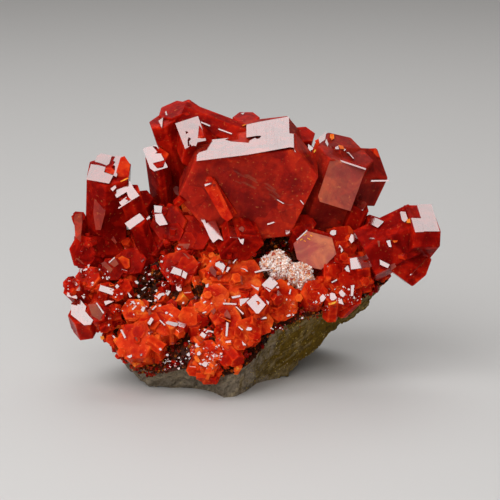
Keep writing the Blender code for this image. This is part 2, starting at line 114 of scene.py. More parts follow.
# Grains strewn over a surface: how many, their sizes, how much commoner the small ones are, the
# highest tone, how much commoner the dark ones are, how many of them sparkle, and how far they stand
# out, in sizes
Grains = namedtuple("Grains", "count sizes bias tone tone_bias sparkling raised", defaults=(0.0, 0.0))
DRUSE_GRAINS = Grains(14000, (0.13, 0.42), 1.5, 0.9, 2.0, 0.07)
FOOT_GRAINS = Grains(2600, (0.10, 0.36), 1.3, 1.0, 1.0, 0.05)
BACK_GRAINS = Grains(3000, (0.18, 0.6), 1.0, 0.8, 2.0)
PATCH_CRUMBS = Grains(5000, (0.10, 0.36), 2.0, 1.0, 1.0, raised=0.2)
CRUST_LOOK = (0.15, 0.0, 0.0)
LUMP_LOOK = (0.4, 0.0, 0.0)
GRAIN_TOPS = (0.8, 1.5)
GRAIN_REACHES = (0.7, 1.2)
ROCK_SPARKS = 1300
SPARK_SIZES = (0.06, 0.17)
GOLDEN_GRAINS = 2           # the number of their material

# Where the rock's right slope starts, and the place and height of the crust's left edge
RIGHT_SLOPE_START = 2.0
LEFT_EDGE = -16.0
LEFT_EDGE_TOP = 17.0

# Crystals strewn over a surface: how many, their half widths, their lengths in half widths, how many
# are turned to the light, their tones, whether their faces have rims of painted edge glow, and whether
# they also stand where the picture shows none
Strewn = namedtuple("Strewn", "count halves lengths bright tones rimmed anywhere")
BACK_CRYSTALS = Strewn(60, (0.3, 0.9), (1.5, 2.5), 0.0, (0.0, 0.7), True, True)
FOOT_CRYSTALS = Strewn(140, (0.15, 0.5), (1.2, 2.2), 0.3, (-0.3, 0.4), False, True)
EDGE_CRYSTALS = Strewn(120, (0.2, 0.5), (2.5, 4.5), 0.3, (0.0, 0.6), True, False)

# The crystals of the crust, which are small and dark in the dark zones
DRUSE_CRYSTALS = 1200
DRUSE_HALVES = (0.2, 1.3)
DARK_HALVES = (0.2, 0.5)
DRUSE_BIAS = 1.2
DRUSE_LENGTHS = (1.8, 3.5)
DRUSE_TONES = (0.45, 0.95)
DARK_TONES = (-0.3, 0.25)
DRUSE_BRIGHT = 0.3

# The small crystals on a group, none of which stands in a dark zone but the smallest
SPROUT_BIAS = 1.6
SPROUT_LENGTHS = (1.6, 3.2)
SPROUT_BRIGHT = 0.2
SPROUT_TONE_SPREAD = 0.15
SPROUT_SMALLEST = 0.45

# All small crystals
LEAN = 0.4                  # how far a small crystal leans off its surface
TURNED_END = 0.35           # how many of the bright ones have a bright end, not a bright side
STANDS_OUT = 0.6            # how much of a small crystal is above its surface

# What grows along a crystal: how many, their half widths and how far out they stand, as shares of the
# crystal's own half width, how far back their ends lie, and how many degrees they turn from it
Growth = namedtuple("Growth", "count shares spread drop turn")
THIN_GROWTH = Growth(2, (0.2, 0.5), 0.75, (0.02, 0.5), 0.0)
BLOCKY_GROWTH = Growth(5, (0.25, 0.6), 0.55, (-0.06, 0.12), 7.0)
GROWTH_STRAY = (-0.05, 0.12)
GROWTH_LENGTHS = (0.5, 0.95)
GROWTH_TONE_SPREAD = 0.08
GROUP_TONE_SPREAD = 0.10
GREAT_HALF = 4.6            # crystals over this half width get a little painted sheen
GREAT_PAINTED_SHEEN = 0.06
THIN_HALF = 1.85            # crystals under this half width have the thin growth

# Orange crystals have the blocky growth, and so have red ones under this half width that end left of
# and below these places
BLOCKY_HALF = 3.2
BLOCKY_RIGHT = 30.0
BLOCKY_TOP = 31.0

# The tiny blocks that glitter
GLINT_SIZES = (0.07, 0.24)
GLINT_BIAS = 1.6
GLINT_WIDTHS = (0.35, 1.0)
GLINT_DEPTH = 2.0
# The glints' look holds a little painted sheen
GLINT_LOOK = (0.5, 0.0, 0.1)

# The rock's broken surface: how near corners are joined, how many times edges are cut, up to what
# height it stays flat, then how fine, per millimetre, and how high its chips, folds and grit are
ROCK_JOIN = 0.001
ROCK_CUTS = 5
ROCK_FOOT = 0.05
BIG_CHIPS = (0.45, 0.5)
SMALL_CHIPS = (1.1, 0.3)
SMALL_CHIPS_SHIFT = Vector((40.0, 0.0, 0.0))
CHIP_SLOPES = 2.7           # how differently neighbouring chips slope
FOLDS = (0.35, 0.14)
FOLD_SETTINGS = (0.9, 2.1, 5, 1.0, 2.0)     # H, lacunarity, octaves, offset and gain
FOLD_SINK = 0.2
COARSE_GRIT = (2.3, 0.09)
FINE_GRIT = (5.1, 0.05)

# A crystal: a six-sided prism. `end` is the middle of its free end. Its long axis points from the
# root to that end, `azimuth` degrees round from -Y towards +X and `elevation` degrees up. `half` is
# the distance from its axis to a side face, and `sides` stretches that for each of the six faces,
# the first being the uppermost, which `roll` turns round the axis. The tables of crystals that follow
# hold these values in this order.
EVEN = (1.0, 1.0, 1.0, 1.0, 1.0, 1.0)
DEEP = (1.5, 1.0, 1.0, 1.5, 1.0, 1.0)
Crystal = namedtuple("Crystal", "end azimuth elevation roll half length sides", defaults=(EVEN,))

# The giant tabular crystal, the one it grew over, and all that is intergrown with them
MAIN_GROUP = (
    ((2.2, -3.0, 34.7), 0, -14, 7, 7.0, 6.8, (1.03, 1.55, 1.5, 1.4, 1.5, 1.7)),
    ((5.9, -0.1, 35.85), 0, -14, 7, 7.1, 11.6, (1.0, 1.05, 1.05, 0.9, 1.05, 1.05)),
    ((-4.5, -3.5, 37.0), -67, 57, 30, 1.05, 8),
    ((0.6, -5.6, 25.2), 14, -23, -8, 3.0, 8, (0.9, 0.5, 1.2, 1.0, 1.2, 1.5)),
    ((-6.0, 1.0, 40.5), 14, -20, 22, 3.3, 13, (1.1, 1.0, 1.0, 1.0, 1.0, 1.0)),
    ((-11.0, 8.0, 47.5), -40, 66, 0, 2.8, 20),
    ((-13.1, 6.0, 45.8), -40, 66, 20, 2.3, 19),
    ((1.5, 7.2, 42.1), 85, -20, 10, 2.5, 12),
    ((2.0, 11.0, 45.5), 0, 75, 0, 2.2, 11),
    ((12.4, 9.0, 42.8), 20, 60, 0, 2.0, 12),
    ((-14.0, 3.0, 40.0), -8, 60, 20, 1.9, 13, DEEP),
    ((-13.5, 0.5, 30.4), -10, 60, 0, 1.3, 6, DEEP),
    ((-12.0, -0.5, 28.4), -10, 20, 10, 3.0, 10),
    ((-7.4, -0.8, 26.8), 0, 20, 0, 3.1, 9),
)
HEXAGON_CRYSTAL = (
    ((14.5, -2.5, 24.0), 3, 12, -16, 3.5, 9),
    ((12.0, -0.5, 28.0), 5, 40, 0, 2.2, 8),
)
UPPER_RIGHT_GROUP = (
    ((19.6, 3.0, 41.1), 43, 65, 23, 4.8, 17, (1.0, 1.0, 0.9, 1.15, 0.85, 1.05)),
    ((23.6, 9.0, 34.8), 132, -10, -7, 5.2, 10),
    ((22.5, 1.0, 31.5), 40, 62, 0, 1.4, 7, DEEP),
)
FAR_RIGHT_GROUP = (
    ((35.1, -4.0, 27.5), 103, -3, 26, 4.5, 5, (0.8, 1.15, 0.9, 1.0, 1.0, 1.05)),
    ((33.0, -3.0, 27.9), 100, 24, 30, 4.5, 11),
    ((32.9, -3.0, 20.2), 110, -38, 0, 3.0, 9),
    ((25.0, -1.0, 24.5), 30, 30, 0, 2.8, 8),
    ((25.5, 0.0, 28.5), 30, 62, 20, 1.5, 7, DEEP),
)
LEFT_GROUP = (
    ((-22.4, 0.0, 37.9), 8, 66, 19, 4.0, 16, (1.0, 0.95, 1.05, 1.0, 0.9, 1.05)),
    ((-23.3, 1.6, 39.2), 8, 66, 19, 1.7, 14),
    ((-19.0, -2.0, 34.5), -30, 60, 10, 2.0, 16),
    ((-17.5, -3.0, 29.5), -25, 58, 20, 1.6, 14),
    ((-28.2, 1.0, 29.2), -20, 50, 0, 1.2, 8),
    ((-27.5, -2.0, 23.5), -40, 10, 0, 2.8, 8),
    ((-22.0, -3.0, 20.5), 10, 20, 0, 2.0, 7),
    ((-17.0, 3.0, 32.0), -10, 50, 10, 2.0, 10),
    ((-15.5, 0.0, 25.0), -20, 25, 0, 2.6, 7),
    ((-18.5, -1.0, 21.5), -20, 20, 15, 2.4, 6),
)
CENTRE_LEFT_CRYSTALS = (
    ((-10.0, -4.0, 21.0), -10, 30, 10, 3.0, 7),
    ((-10.0, -5.5, 20.5), 10, 58, 25, 1.1, 4, DEEP),
    ((-9.0, -1.5, 24.0), 5, 50, 0, 1.6, 5),
)
FRONT_GROUP = (
    ((2.0, -5.0, 20.0), 5, 25, 0, 2.8, 7),
    ((8.0, -7.5, 16.0), 15, 20, 20, 3.4, 8),
    ((6.5, -8.5, 19.0), 20, 62, 15, 1.2, 4),
    ((4.0, -10.5, 16.0), -15, 50, 10, 1.8, 6),
    ((1.5, -10.5, 16.5), -30, 62, 0, 0.9, 4),
    ((-1.5, -12.0, 14.0), -5, 35, 0, 2.4, 6),
    ((-3.5, -8.5, 17.0), -10, 40, 20, 2.4, 6),
    ((-2.5, -4.5, 21.0), -5, 40, 0, 2.5, 7),
    ((-2.5, -5.0, 22.0), 10, 60, 0, 1.1, 4, DEEP),
    ((5.0, -11.5, 13.0), 30, 20, 0, 2.0, 6),
    ((2.5, -13.5, 12.0), 25, 35, 10, 2.4, 6),
    ((0.0, -15.0, 11.0), 10, 40, 0, 2.2, 6),
    ((0.0, -6.5, 17.8), 0, 42, 15, 4.4, 7),
)
BOTTOM_GROUP = (
    ((-5.0, -15.5, 8.8), -5, 40, 10, 2.2, 5),
    ((-4.5, -17.0, 6.6), 5, 45, 0, 1.5, 4),
    ((-5.5, -12.8, 11.2), 10, 62, 20, 1.0, 4),
    ((-2.0, -15.0, 8.2), 10, 30, 0, 2.0, 5),
)
LOWER_MIDDLE_GROUP = (
    ((-17.5, -14.5, 10.5), -15, 30, 10, 3.2, 7),
    ((-12.0, -11.5, 13.5), 0, 45, 20, 3.0, 7),
    ((-8.0, -11.0, 14.0), 10, 35, 0, 1.8, 6),
    ((-18.0, -10.0, 15.0), -10, 40, 0, 2.0, 6),
    ((-15.0, -12.0, 13.5), -5, 50, 0, 1.8, 5),
    ((-11.0, -13.5, 13.5), 0, 62, 0, 1.0, 4, DEEP),
)
LOWER_LEFT_GROUP = (
    ((-27.3, -9.8, 14.2), -8, 45, 12, 2.0, 6),
    ((-24.5, -10.5, 14.5), -10, 30, 20, 1.7, 6),
    ((-29.0, -7.5, 18.5), -50, 45, 0, 1.7, 6),
    ((-22.5, -8.5, 18.5), 5, 62, 20, 1.5, 5),
    ((-22.5, -10.0, 16.0), 0, 62, 0, 1.1, 5),
    ((-26.0, -6.5, 20.0), -25, 35, 0, 2.0, 6),
    ((-20.0, -6.5, 18.0), -10, 50, 0, 1.6, 5),
    ((-25.0, -7.0, 16.0), -20, 35, 0, 3.2, 6),
)
RIGHT_EDGE_GROUP = (
    ((22.5, -5.5, 22.5), -8, 60, 20, 1.9, 6),
    ((21.0, -6.5, 17.0), 40, 30, 0, 2.0, 6),
    ((17.5, -7.5, 16.5), 10, 60, 0, 1.3, 5),
    ((14.2, -7.0, 17.5), 10, 40, 0, 2.2, 7),
    ((19.5, -2.5, 25.5), 20, 25, 0, 2.8, 7),
    ((19.0, -5.5, 19.5), 30, 30, 0, 2.8, 7),
    ((20.0, -4.2, 21.0), 15, 38, 20, 4.2, 7),
)

DEEP_RED = "deep_red_crystal"
ORANGE_RED = "orange_red_crystal"

# A group of crystals: the CAD node that it replaces, its crystals, how orange they are from 0 to 1,
# its slot, and the small crystals grown over it: how many, their half widths, and how high up
Group = namedtuple("Group", "node crystals tone slot sprouts halves top")
GROUPS = (
    Group("main_crystal_group", MAIN_GROUP, 0.38, DEEP_RED, 24, (0.25, 0.8), 31.0),
    Group("hexagon_crystal", HEXAGON_CRYSTAL, 0.30, DEEP_RED, 8, (0.25, 0.6), 22.0),
    Group("upper_right_crystal_group", UPPER_RIGHT_GROUP, 0.30, DEEP_RED, 8, (0.25, 0.8), 30.0),
    Group("far_right_crystal_group", FAR_RIGHT_GROUP, 0.28, DEEP_RED, 5, (0.25, 0.7), 24.0),
    Group("left_crystal_group", LEFT_GROUP, 0.30, DEEP_RED, 50, (0.3, 0.9), 26.0),
    Group("centre_left_crystals", CENTRE_LEFT_CRYSTALS, 0.46, ORANGE_RED, 8, (0.2, 0.6), 60.0),
    Group("front_crystal_group", FRONT_GROUP, 0.74, ORANGE_RED, 70, (0.3, 1.3), 60.0),
    Group("bottom_crystal_group", BOTTOM_GROUP, 0.74, ORANGE_RED, 36, (0.3, 1.0), 60.0),
    Group("lower_middle_crystal_group", LOWER_MIDDLE_GROUP, 0.80, ORANGE_RED, 40, (0.3, 1.2), 60.0),
    Group("lower_left_crystal_group", LOWER_LEFT_GROUP, 0.48, ORANGE_RED, 60, (0.3, 1.2), 60.0),
    Group("right_edge_crystal_group", RIGHT_EDGE_GROUP, 0.55, ORANGE_RED, 60, (0.3, 1.2), 60.0),
)

# Where the picture glitters: how many tiny bright faces are tried in a rectangle round the outline
GLINT_ZONES = (
    (60, ((260, 258), (275, 246), (292, 262), (316, 272), (312, 290), (290, 282), (264, 272))),
    (330, ((116, 362), (128, 375), (145, 379), (190, 364), (222, 374), (222, 354), (192, 338), (165, 350),
           (140, 361))),
    (60, ((100, 296), (155, 290), (150, 310), (108, 332))),
    (70, ((138, 262), (172, 262), (178, 290), (150, 300))),
    (50, ((62, 262), (112, 266), (108, 300), (64, 305))),
    (40, ((195, 330), (225, 326), (225, 366), (200, 370))),
    (330, ((262, 338), (285, 312), (345, 286), (352, 298), (300, 326))),
    (60, ((150, 255), (340, 262), (345, 300), (160, 310))),
    (70, ((345, 288), (378, 276), (384, 288), (350, 306))),
)

# What lies beyond the cluster in the picture, to its left, below it and to its right
SURROUNDINGS = ((0, 150), (97, 154), (86, 180), (84, 202), (79, 204), (73, 215), (72, 231), (75, 237),
                (73, 245), (72, 253), (79, 265), (75, 270), (65, 277), (63, 285), (63, 294), (67, 302),
                (69, 307), (68, 315), (78, 323), (86, 331), (98, 333), (99, 340), (105, 348), (114, 360),
                (125, 369), (139, 384), (153, 389), (188, 387), (205, 388), (217, 398), (243, 394),
                (255, 380), (287, 378), (293, 366), (310, 352), (333, 334), (350, 322), (369, 306),
                (378, 292), (386, 282), (406, 288), (424, 270), (440, 248), (500, 248), (500, 500),
                (0, 500))

# Wide faces that nothing small stands on
CLEAR_FACES = (
    ((291, 243), (307, 229), (333, 236), (338, 255), (322, 272), (309, 269), (295, 261)),
    ((331, 158), (367, 169), (351, 213), (320, 202)),
    ((198, 158), (292, 146), (314, 178), (300, 215), (250, 222), (215, 214), (184, 180)),
    ((67, 304), (83, 294), (94, 303), (101, 322), (92, 331), (75, 329), (66, 316)),
)

# Where the picture is dark, as outlines of pixels: crystals on the crust there are smaller and darker,
# and of those on the groups only the smallest stand there
DARK_ZONES = (
    ((108, 345), (140, 366), (165, 350), (190, 338), (197, 352), (185, 372), (150, 384), (125, 372)),
    ((128, 262), (150, 255), (172, 262), (168, 285), (155, 300), (135, 295)),
    ((240, 240), (300, 240), (300, 262), (262, 262), (240, 255)),
    ((243, 350), (262, 335), (300, 300), (340, 292), (378, 280), (384, 290), (345, 318), (300, 330),
     (250, 366)),
)

# How far down the rock's front the picture shows the crust's grains, as an outline of pixels
FOOT_ZONE = ((118, 340), (126, 363.5), (136, 373), (143.6, 378), (163.5, 374), (189.5, 363), (207.6, 371),
             (223.7, 374), (246.6, 362), (263.5, 342), (282, 329), (306.5, 321), (340, 307), (350, 300),
             (340, 280), (118, 300))

# A part of the picture looked at close up: its left and top pixel, and how many times enlarged
Close = namedtuple("Close", "left top enlargement")

# Faces that stand out in the picture, listed by close view and kind, each as its outline in that
# view. A bright face mirrors a softbox and has a little painted sheen; a pale one has a pinkish painted
# sheen, a veiled one less so and a hazed one a little; an orange or golden one is painted lighter for
# the light that comes through it. A pit is painted dark for the shade in it; it and a fleck, which is
# golden, lie on the face listed before them. Each kind has its tone, painted glow rim and painted sheen.
BRIGHT = "bright"
PALE_SHEEN = "pale"
VEILED_SHEEN = "veiled"
HAZED_SHEEN = "hazed"
GOLDEN = "golden"
ORANGE = "orange"
PIT_SHADE = "pit"
FLECK = "fleck"
KIND_LOOKS = {
    BRIGHT: (0.45, 0.0, 0.1),
    PALE_SHEEN: (0.62, 0.0, 0.85),
    VEILED_SHEEN: (0.32, 0.0, 0.42),
    HAZED_SHEEN: (0.35, 0.0, 0.2),
    # Orange and golden faces are painted lighter, for the light that comes through them
    GOLDEN: (1.25, 0.0, 0.0),
    ORANGE: (0.68, 0.0, 0.0),
    # A pit is painted dark, for the shade in it
    PIT_SHADE: (-0.4, 0.0, 0.0),
    FLECK: (1.60, 0.0, 0.0),
}

# Such a face set on the model: its kind, the part that it lies on, its normal, a place on it, how
# deep its body is, and its corners
Slab = namedtuple("Slab", "kind owner normal through depth corners")

FACES = (
    (Close(195, 105, 14),
     (BRIGHT,
      ((22, 785), (38, 560), (150, 492), (300, 478), (475, 462), (420, 482), (500, 510), (750, 530),
       (770, 495), (840, 460), (870, 475), (905, 468), (930, 430), (870, 430), (720, 455), (720, 275),
       (900, 235), (1315, 160), (1320, 395), (1380, 405), (1385, 598), (1330, 590), (740, 696)),
      ((1335, 600), (1375, 590), (1415, 660), (1400, 655)),
      ((80, 228), (215, 285), (205, 300), (85, 250)),
      ((325, 325), (520, 395), (510, 410), (330, 345)),
      ((640, 115), (700, 100), (670, 135))),
     (GOLDEN, ((655, 285), (720, 265), (715, 275), (665, 300)))),
    (Close(0, 0, 10),
     (PALE_SHEEN, ((2935, 2435), (3074, 2311), (3319, 2377), (3363, 2540), (3213, 2696), (3098, 2671),
             (2970, 2590))),
     (FLECK,
      ((3035, 2350), (3060, 2338), (3064, 2345), (3040, 2358)),
      ((3000, 2400), (3022, 2385), (3026, 2392), (3005, 2408)),
      ((3075, 2375), (3105, 2392), (3101, 2400), (3071, 2384)),
      ((3105, 2345), (3125, 2360), (3121, 2367), (3101, 2353)),
      ((3040, 2400), (3060, 2412), (3056, 2419), (3036, 2408))),
     (ORANGE, ((1205, 1575), (1245, 1560), (1300, 1640), (1285, 1800), (1180, 1790), (1150, 1760)))),
    (Close(170, 90, 6),
     (HAZED_SHEEN,
      ((374, 482), (400, 486), (442, 514), (436, 520)),
      ((398, 508), (420, 506), (470, 522), (462, 530)),
      ((440, 508), (470, 506), (522, 540), (512, 546)),
      ((468, 528), (492, 530), (530, 556), (520, 560)),
      ((386, 546), (398, 544), (430, 560), (424, 564)),
      ((420, 550), (446, 550), (520, 588), (508, 594)),
      ((560, 556), (590, 562), (640, 600), (630, 606)),
      ((566, 578), (588, 586), (612, 606), (600, 608)),
      ((598, 596), (622, 598), (664, 640), (652, 648)),
      ((590, 622), (610, 626), (644, 650), (634, 656)),
      ((626, 652), (640, 650), (690, 682), (680, 688)),
      ((686, 682), (706, 686), (746, 684), (720, 694)))),
    (Close(60, 130, 15.68),
     (BRIGHT,
      ((485, 535), (410, 775), (770, 840), (835, 710), (690, 660), (715, 580), (600, 550)),
      ((640, 365), (815, 400), (770, 530), (730, 555), (640, 520), (545, 495), (580, 410)),
      ((880, 395), (1000, 420), (960, 520), (885, 735), (835, 715), (860, 640), (865, 565), (835, 545),
       (870, 500), (835, 480))),
     (ORANGE, ((715, 590), (800, 575), (860, 640), (840, 700), (760, 680), (700, 650))),
     (BRIGHT,
      ((865, 865), (885, 900), (830, 960), (790, 920)),
      ((835, 975), (1095, 795), (1150, 900), (1245, 1030), (1120, 1105), (1070, 1040), (1045, 970),
       (890, 1065)),
      ((912, 1215), (1110, 1098), (1245, 1030), (915, 1237)),
      ((925, 1135), (1040, 1045), (1070, 1110), (970, 1190)),
      ((1015, 1465), (1245, 1300), (1325, 1395), (1095, 1560)),
      ((1330, 1395), (1400, 1345), (1418, 1375), (1350, 1425)),
      ((1475, 1180), (1600, 1195), (1590, 1300), (1480, 1290)),
      ((1485, 1318), (1600, 1310), (1690, 1480), (1560, 1500), (1500, 1430))),
     (GOLDEN, ((945, 800), (1060, 745), (1080, 760), (955, 820))),
     (HAZED_SHEEN,
      ((215, 1370), (240, 1320), (345, 1300), (350, 1440), (320, 1750), (240, 1680)),
      ((540, 1080), (740, 1100), (700, 1330), (640, 1568), (560, 1568), (520, 1300)))),
    (Close(130, 90, 14.25),
     (BRIGHT, ((645, 475), (970, 370), (1085, 720), (960, 745), (940, 800), (905, 790), (880, 800),
               (860, 770), (840, 810), (785, 840))),
     (PIT_SHADE,
      ((790, 580), (830, 600), (800, 625)),
      ((835, 670), (868, 690), (840, 720), (850, 780), (825, 790), (820, 715))),
     (BRIGHT,
      ((405, 440), (470, 390), (455, 545)),
      ((500, 312), (520, 300), (532, 355), (512, 360)),
      ((185, 845), (200, 825), (320, 800), (350, 835), (385, 880), (360, 905), (440, 905), (540, 1100),
       (345, 1160), (285, 1115)),
      ((325, 790), (385, 782), (412, 835), (395, 830), (375, 805), (330, 800))),
     (ORANGE, ((770, 340), (820, 320), (850, 350), (800, 370))),
     (VEILED_SHEEN, ((610, 1405), (650, 1365), (690, 1380), (690, 1440), (725, 1490), (695, 1520),
               (640, 1475)))),
    (Close(170, 140, 12.06),
     (ORANGE, ((440, 440), (500, 440), (570, 545), (760, 935), (690, 985), (620, 930), (560, 830),
               (415, 570))),
     (BRIGHT,
      ((415, 535), (500, 505), (508, 520), (425, 560)),
      ((520, 520), (545, 505), (562, 525), (545, 562), (518, 562))),
     (VEILED_SHEEN, ((420, 490), (440, 450), (490, 440), (500, 475), (430, 500))),
     (BRIGHT, ((1280, 715), (1300, 720), (1380, 765), (1360, 768))),
     (VEILED_SHEEN, ((830, 1060), (870, 1040), (900, 1070), (880, 1110), (830, 1080))),
     (BRIGHT,
      ((362, 950), (420, 955), (435, 1005), (545, 960), (575, 1040), (640, 1215), (585, 1190), (520, 1240),
       (480, 1180), (400, 1000)),
      ((820, 1175), (850, 1200), (895, 1190), (880, 1262), (850, 1240)),
      ((1380, 1085), (1450, 1080), (1440, 1120), (1410, 1140), (1380, 1115)),
      ((1170, 1010), (1250, 985), (1265, 995), (1180, 1025)))),
    (Close(270, 110, 12.06),
     (BRIGHT, ((460, 410), (520, 455), (525, 475), (490, 485), (485, 525), (455, 515))),
     (GOLDEN, ((525, 500), (545, 470), (555, 490), (530, 520))),
     (BRIGHT,
      ((585, 335), (680, 255), (665, 355), (595, 405)),
      ((680, 345), (705, 410), (695, 440), (665, 390))),
     (GOLDEN, ((725, 290), (770, 290), (775, 340), (745, 365), (722, 330))),
     (BRIGHT, ((785, 450), (825, 430), (832, 472), (790, 472))),
     (GOLDEN, ((820, 420), (880, 430), (900, 470), (850, 470))),
     (BRIGHT,
      ((885, 455), (915, 475), (900, 495), (870, 470)),
      ((918, 508), (950, 510), (1015, 585), (1000, 585), (950, 525))),
     (ORANGE, ((540, 370), (585, 345), (600, 410), (570, 440))),
     (VEILED_SHEEN, ((735, 575), (1155, 712), (970, 1220), (600, 1105), (580, 1040))),
     (BRIGHT,
      ((730, 562), (1158, 704), (1152, 722), (726, 580)),
      ((1215, 846), (1435, 843), (1435, 860), (1218, 864))),
     (ORANGE, ((1190, 465), (1280, 460), (1335, 585), (1290, 560), (1230, 500))),
     (BRIGHT, ((1045, 1010), (1090, 1060), (1095, 1095), (1130, 1090), (1175, 1135), (1115, 1215),
               (1000, 1115), (1020, 1080))),
     (PIT_SHADE, ((1075, 1115), (1100, 1140), (1085, 1145))),
     (BRIGHT,
      ((1220, 1275), (1375, 1345), (1300, 1420), (1185, 1360)),
      ((725, 1470), (745, 1450), (795, 1450), (795, 1500), (760, 1515), (725, 1495)),
      ((360, 1090), (375, 1090), (410, 1135), (400, 1140)))),
    (Close(330, 190, 13.07),
     (BRIGHT,
      ((1135, 190), (1325, 185), (1435, 540), (1230, 540), (1190, 370)),
      ((1060, 365), (1190, 370), (1230, 545), (1115, 552)),
      ((915, 290), (930, 280), (985, 285), (1020, 385), (975, 420), (940, 395))),
     (GOLDEN,
      ((1005, 385), (1045, 375), (1055, 430), (1000, 430)),
      ((820, 660), (885, 655), (880, 680), (840, 690))),
     (BRIGHT, ((735, 665), (785, 655), (805, 745), (770, 745))),
     (VEILED_SHEEN, ((620, 660), (650, 665), (650, 740), (635, 745))),
     (BRIGHT,
      ((1045, 1108), (1230, 918), (1236, 932), (1055, 1118)),
      ((1222, 910), (1280, 880), (1288, 895), (1225, 938)),
      ((260, 895), (515, 848), (532, 1005), (275, 1038)),
      ((650, 910), (780, 975), (755, 1020), (655, 975))),
     (VEILED_SHEEN, ((780, 985), (845, 955), (865, 1000), (800, 1055))),
     (BRIGHT,
      ((190, 1025), (235, 978), (262, 1075), (215, 1060)),
      ((245, 650), (280, 575), (330, 605), (330, 650), (280, 698)),
      ((505, 620), (580, 628), (580, 640), (505, 638)),
      ((110, 760), (125, 715), (172, 785), (150, 820), (140, 790), (150, 770), (130, 735)),
      ((20, 1203), (90, 1163), (92, 1178), (25, 1215)),
      ((275, 1240), (320, 1240), (300, 1385), (272, 1385)),
      ((0, 1350), (50, 1335), (90, 1410), (45, 1445), (0, 1420)),
      ((115, 1340), (150, 1300), (205, 1360), (175, 1400), (140, 1385)),
      ((105, 1440), (150, 1420), (180, 1500), (110, 1475)),
      ((-440, 650), (-300, 520), (-296, 545), (-425, 668)))),
    (Close(150, 230, 13.07),
     (VEILED_SHEEN, ((375, 180), (525, 180), (490, 255), (440, 240), (430, 205), (365, 205))),
     (BRIGHT,
      ((350, 235), (385, 225), (400, 250), (370, 262)),
      ((275, 265), (310, 260), (318, 295), (300, 290)),
      ((310, 480), (420, 522), (400, 600), (265, 560)),
      ((435, 530), (490, 565), (465, 638), (412, 610)),
      ((340, 705), (355, 695), (415, 715), (412, 790), (375, 803), (345, 780))),
     (VEILED_SHEEN, ((425, 300), (450, 305), (520, 370), (500, 375))),
     (BRIGHT,
      ((855, 430), (930, 400), (985, 470), (950, 560), (910, 500), (855, 470)),
      ((1015, 480), (1050, 490), (1010, 550), (990, 545))),
     (VEILED_SHEEN,
      ((780, 490), (815, 470), (870, 540), (860, 620), (800, 570), (780, 530)),
      ((880, 600), (950, 590), (900, 660), (880, 640))),
     (BRIGHT, ((725, 715), (765, 700), (760, 745), (730, 755))),
     (VEILED_SHEEN, ((1020, 430), (1040, 385), (1060, 420), (1050, 440))),
     (BRIGHT,
      ((1080, 430), (1135, 360), (1150, 365), (1095, 435)),
      ((1065, 870), (1180, 850), (1185, 872), (1080, 897)),
      ((955, 950), (1130, 958), (1130, 978), (955, 972)),
      ((1115, 1000), (1132, 1000), (1227, 1090), (1215, 1107)),
      ((1395, 1152), (1520, 1133), (1525, 1157), (1400, 1175)),
      ((998, 1200), (1027, 1205), (1012, 1390), (986, 1390)),
      ((1150, 1265), (1168, 1260), (1217, 1300), (1202, 1314)),
      ((1255, 1300), (1275, 1268), (1325, 1275), (1335, 1300), (1310, 1315), (1260, 1310))),
     (GOLDEN, ((895, 1128), (910, 1128), (1057, 1190), (1050, 1204))),
     (VEILED_SHEEN,
      ((965, 1100), (1005, 1035), (1055, 1120), (1050, 1160), (980, 1130)),
      ((790, 1060), (840, 1020), (865, 1050), (830, 1105))),
     (BRIGHT,
      ((85, 870), (120, 830), (180, 820), (195, 850), (150, 860), (110, 915)),
      ((210, 840), (240, 790), (270, 800), (235, 860)),
      ((575, 870), (610, 865), (620, 890), (595, 905)),
      ((25, 1035), (75, 985), (87, 997), (37, 1047)),
      ((195, 1080), (215, 1065), (240, 1085), (210, 1100)),
      ((245, 1102), (262, 1090), (302, 1125), (290, 1137)),
      ((205, 1205), (235, 1190), (365, 1215), (360, 1250), (320, 1260), (210, 1225)),
      ((120, 1182), (137, 1175), (200, 1240), (190, 1250)),
      ((690, 945), (725, 925), (737, 937), (705, 960)),
      ((685, 1080), (735, 1060), (737, 1077), (690, 1092)),
      ((650, 1375), (680, 1330), (740, 1370), (710, 1415)),
      ((725, 1340), (755, 1305), (830, 1325), (825, 1345), (770, 1327), (735, 1352)),
      ((745, 1265), (765, 1250), (812, 1275), (800, 1287)),
      ((0, 1310), (30, 1340), (0, 1370)),
      ((590, 1490), (610, 1480), (640, 1525), (600, 1525))),
     (HAZED_SHEEN, ((1180, 600), (1200, 600), (1210, 660), (1200, 715), (1185, 690)))),
    (Close(230, 250, 13.07),
     (BRIGHT,
      ((415, 455), (520, 350), (555, 372), (548, 400), (575, 385), (628, 435), (515, 548)),
      ((215, 685), (340, 572), (470, 715), (375, 830), (345, 830)),
      ((125, 640), (258, 626), (145, 735), (130, 720)),
      ((320, 282), (420, 255), (535, 248), (530, 262), (430, 275), (330, 300)),
      ((130, 235), (190, 243), (235, 278), (222, 282), (185, 255)),
      ((270, 450), (330, 485), (380, 490), (370, 535), (340, 510))),
     (VEILED_SHEEN, ((140, 340), (160, 380), (165, 455), (145, 440))),
     (BRIGHT, ((785, 510), (800, 515), (785, 580), (768, 575))),
     (VEILED_SHEEN, ((820, 430), (870, 470), (865, 490), (830, 460))),
     (BRIGHT,
      ((755, 425), (785, 440), (770, 465), (750, 450)),
      ((470, 650), (510, 680), (505, 715), (490, 700)),
      ((155, 1190), (185, 1215), (215, 1245), (170, 1245)),
      ((225, 1350), (285, 1340), (280, 1375), (230, 1370)),
      ((1175, 615), (1215, 575), (1255, 620), (1220, 670), (1185, 680))),
     (GOLDEN, ((1285, 695), (1395, 672), (1370, 700), (1295, 725))),
     (BRIGHT,
      ((1200, 770), (1240, 745), (1250, 785), (1215, 795)),
      ((905, 790), (960, 770), (975, 810), (925, 825)),
      ((1040, 795), (1100, 780), (1110, 800), (1060, 805)),
      ((1325, 415), (1395, 385), (1402, 397), (1335, 430)))),
    (Close(90, 290, 13.07),
     (BRIGHT,
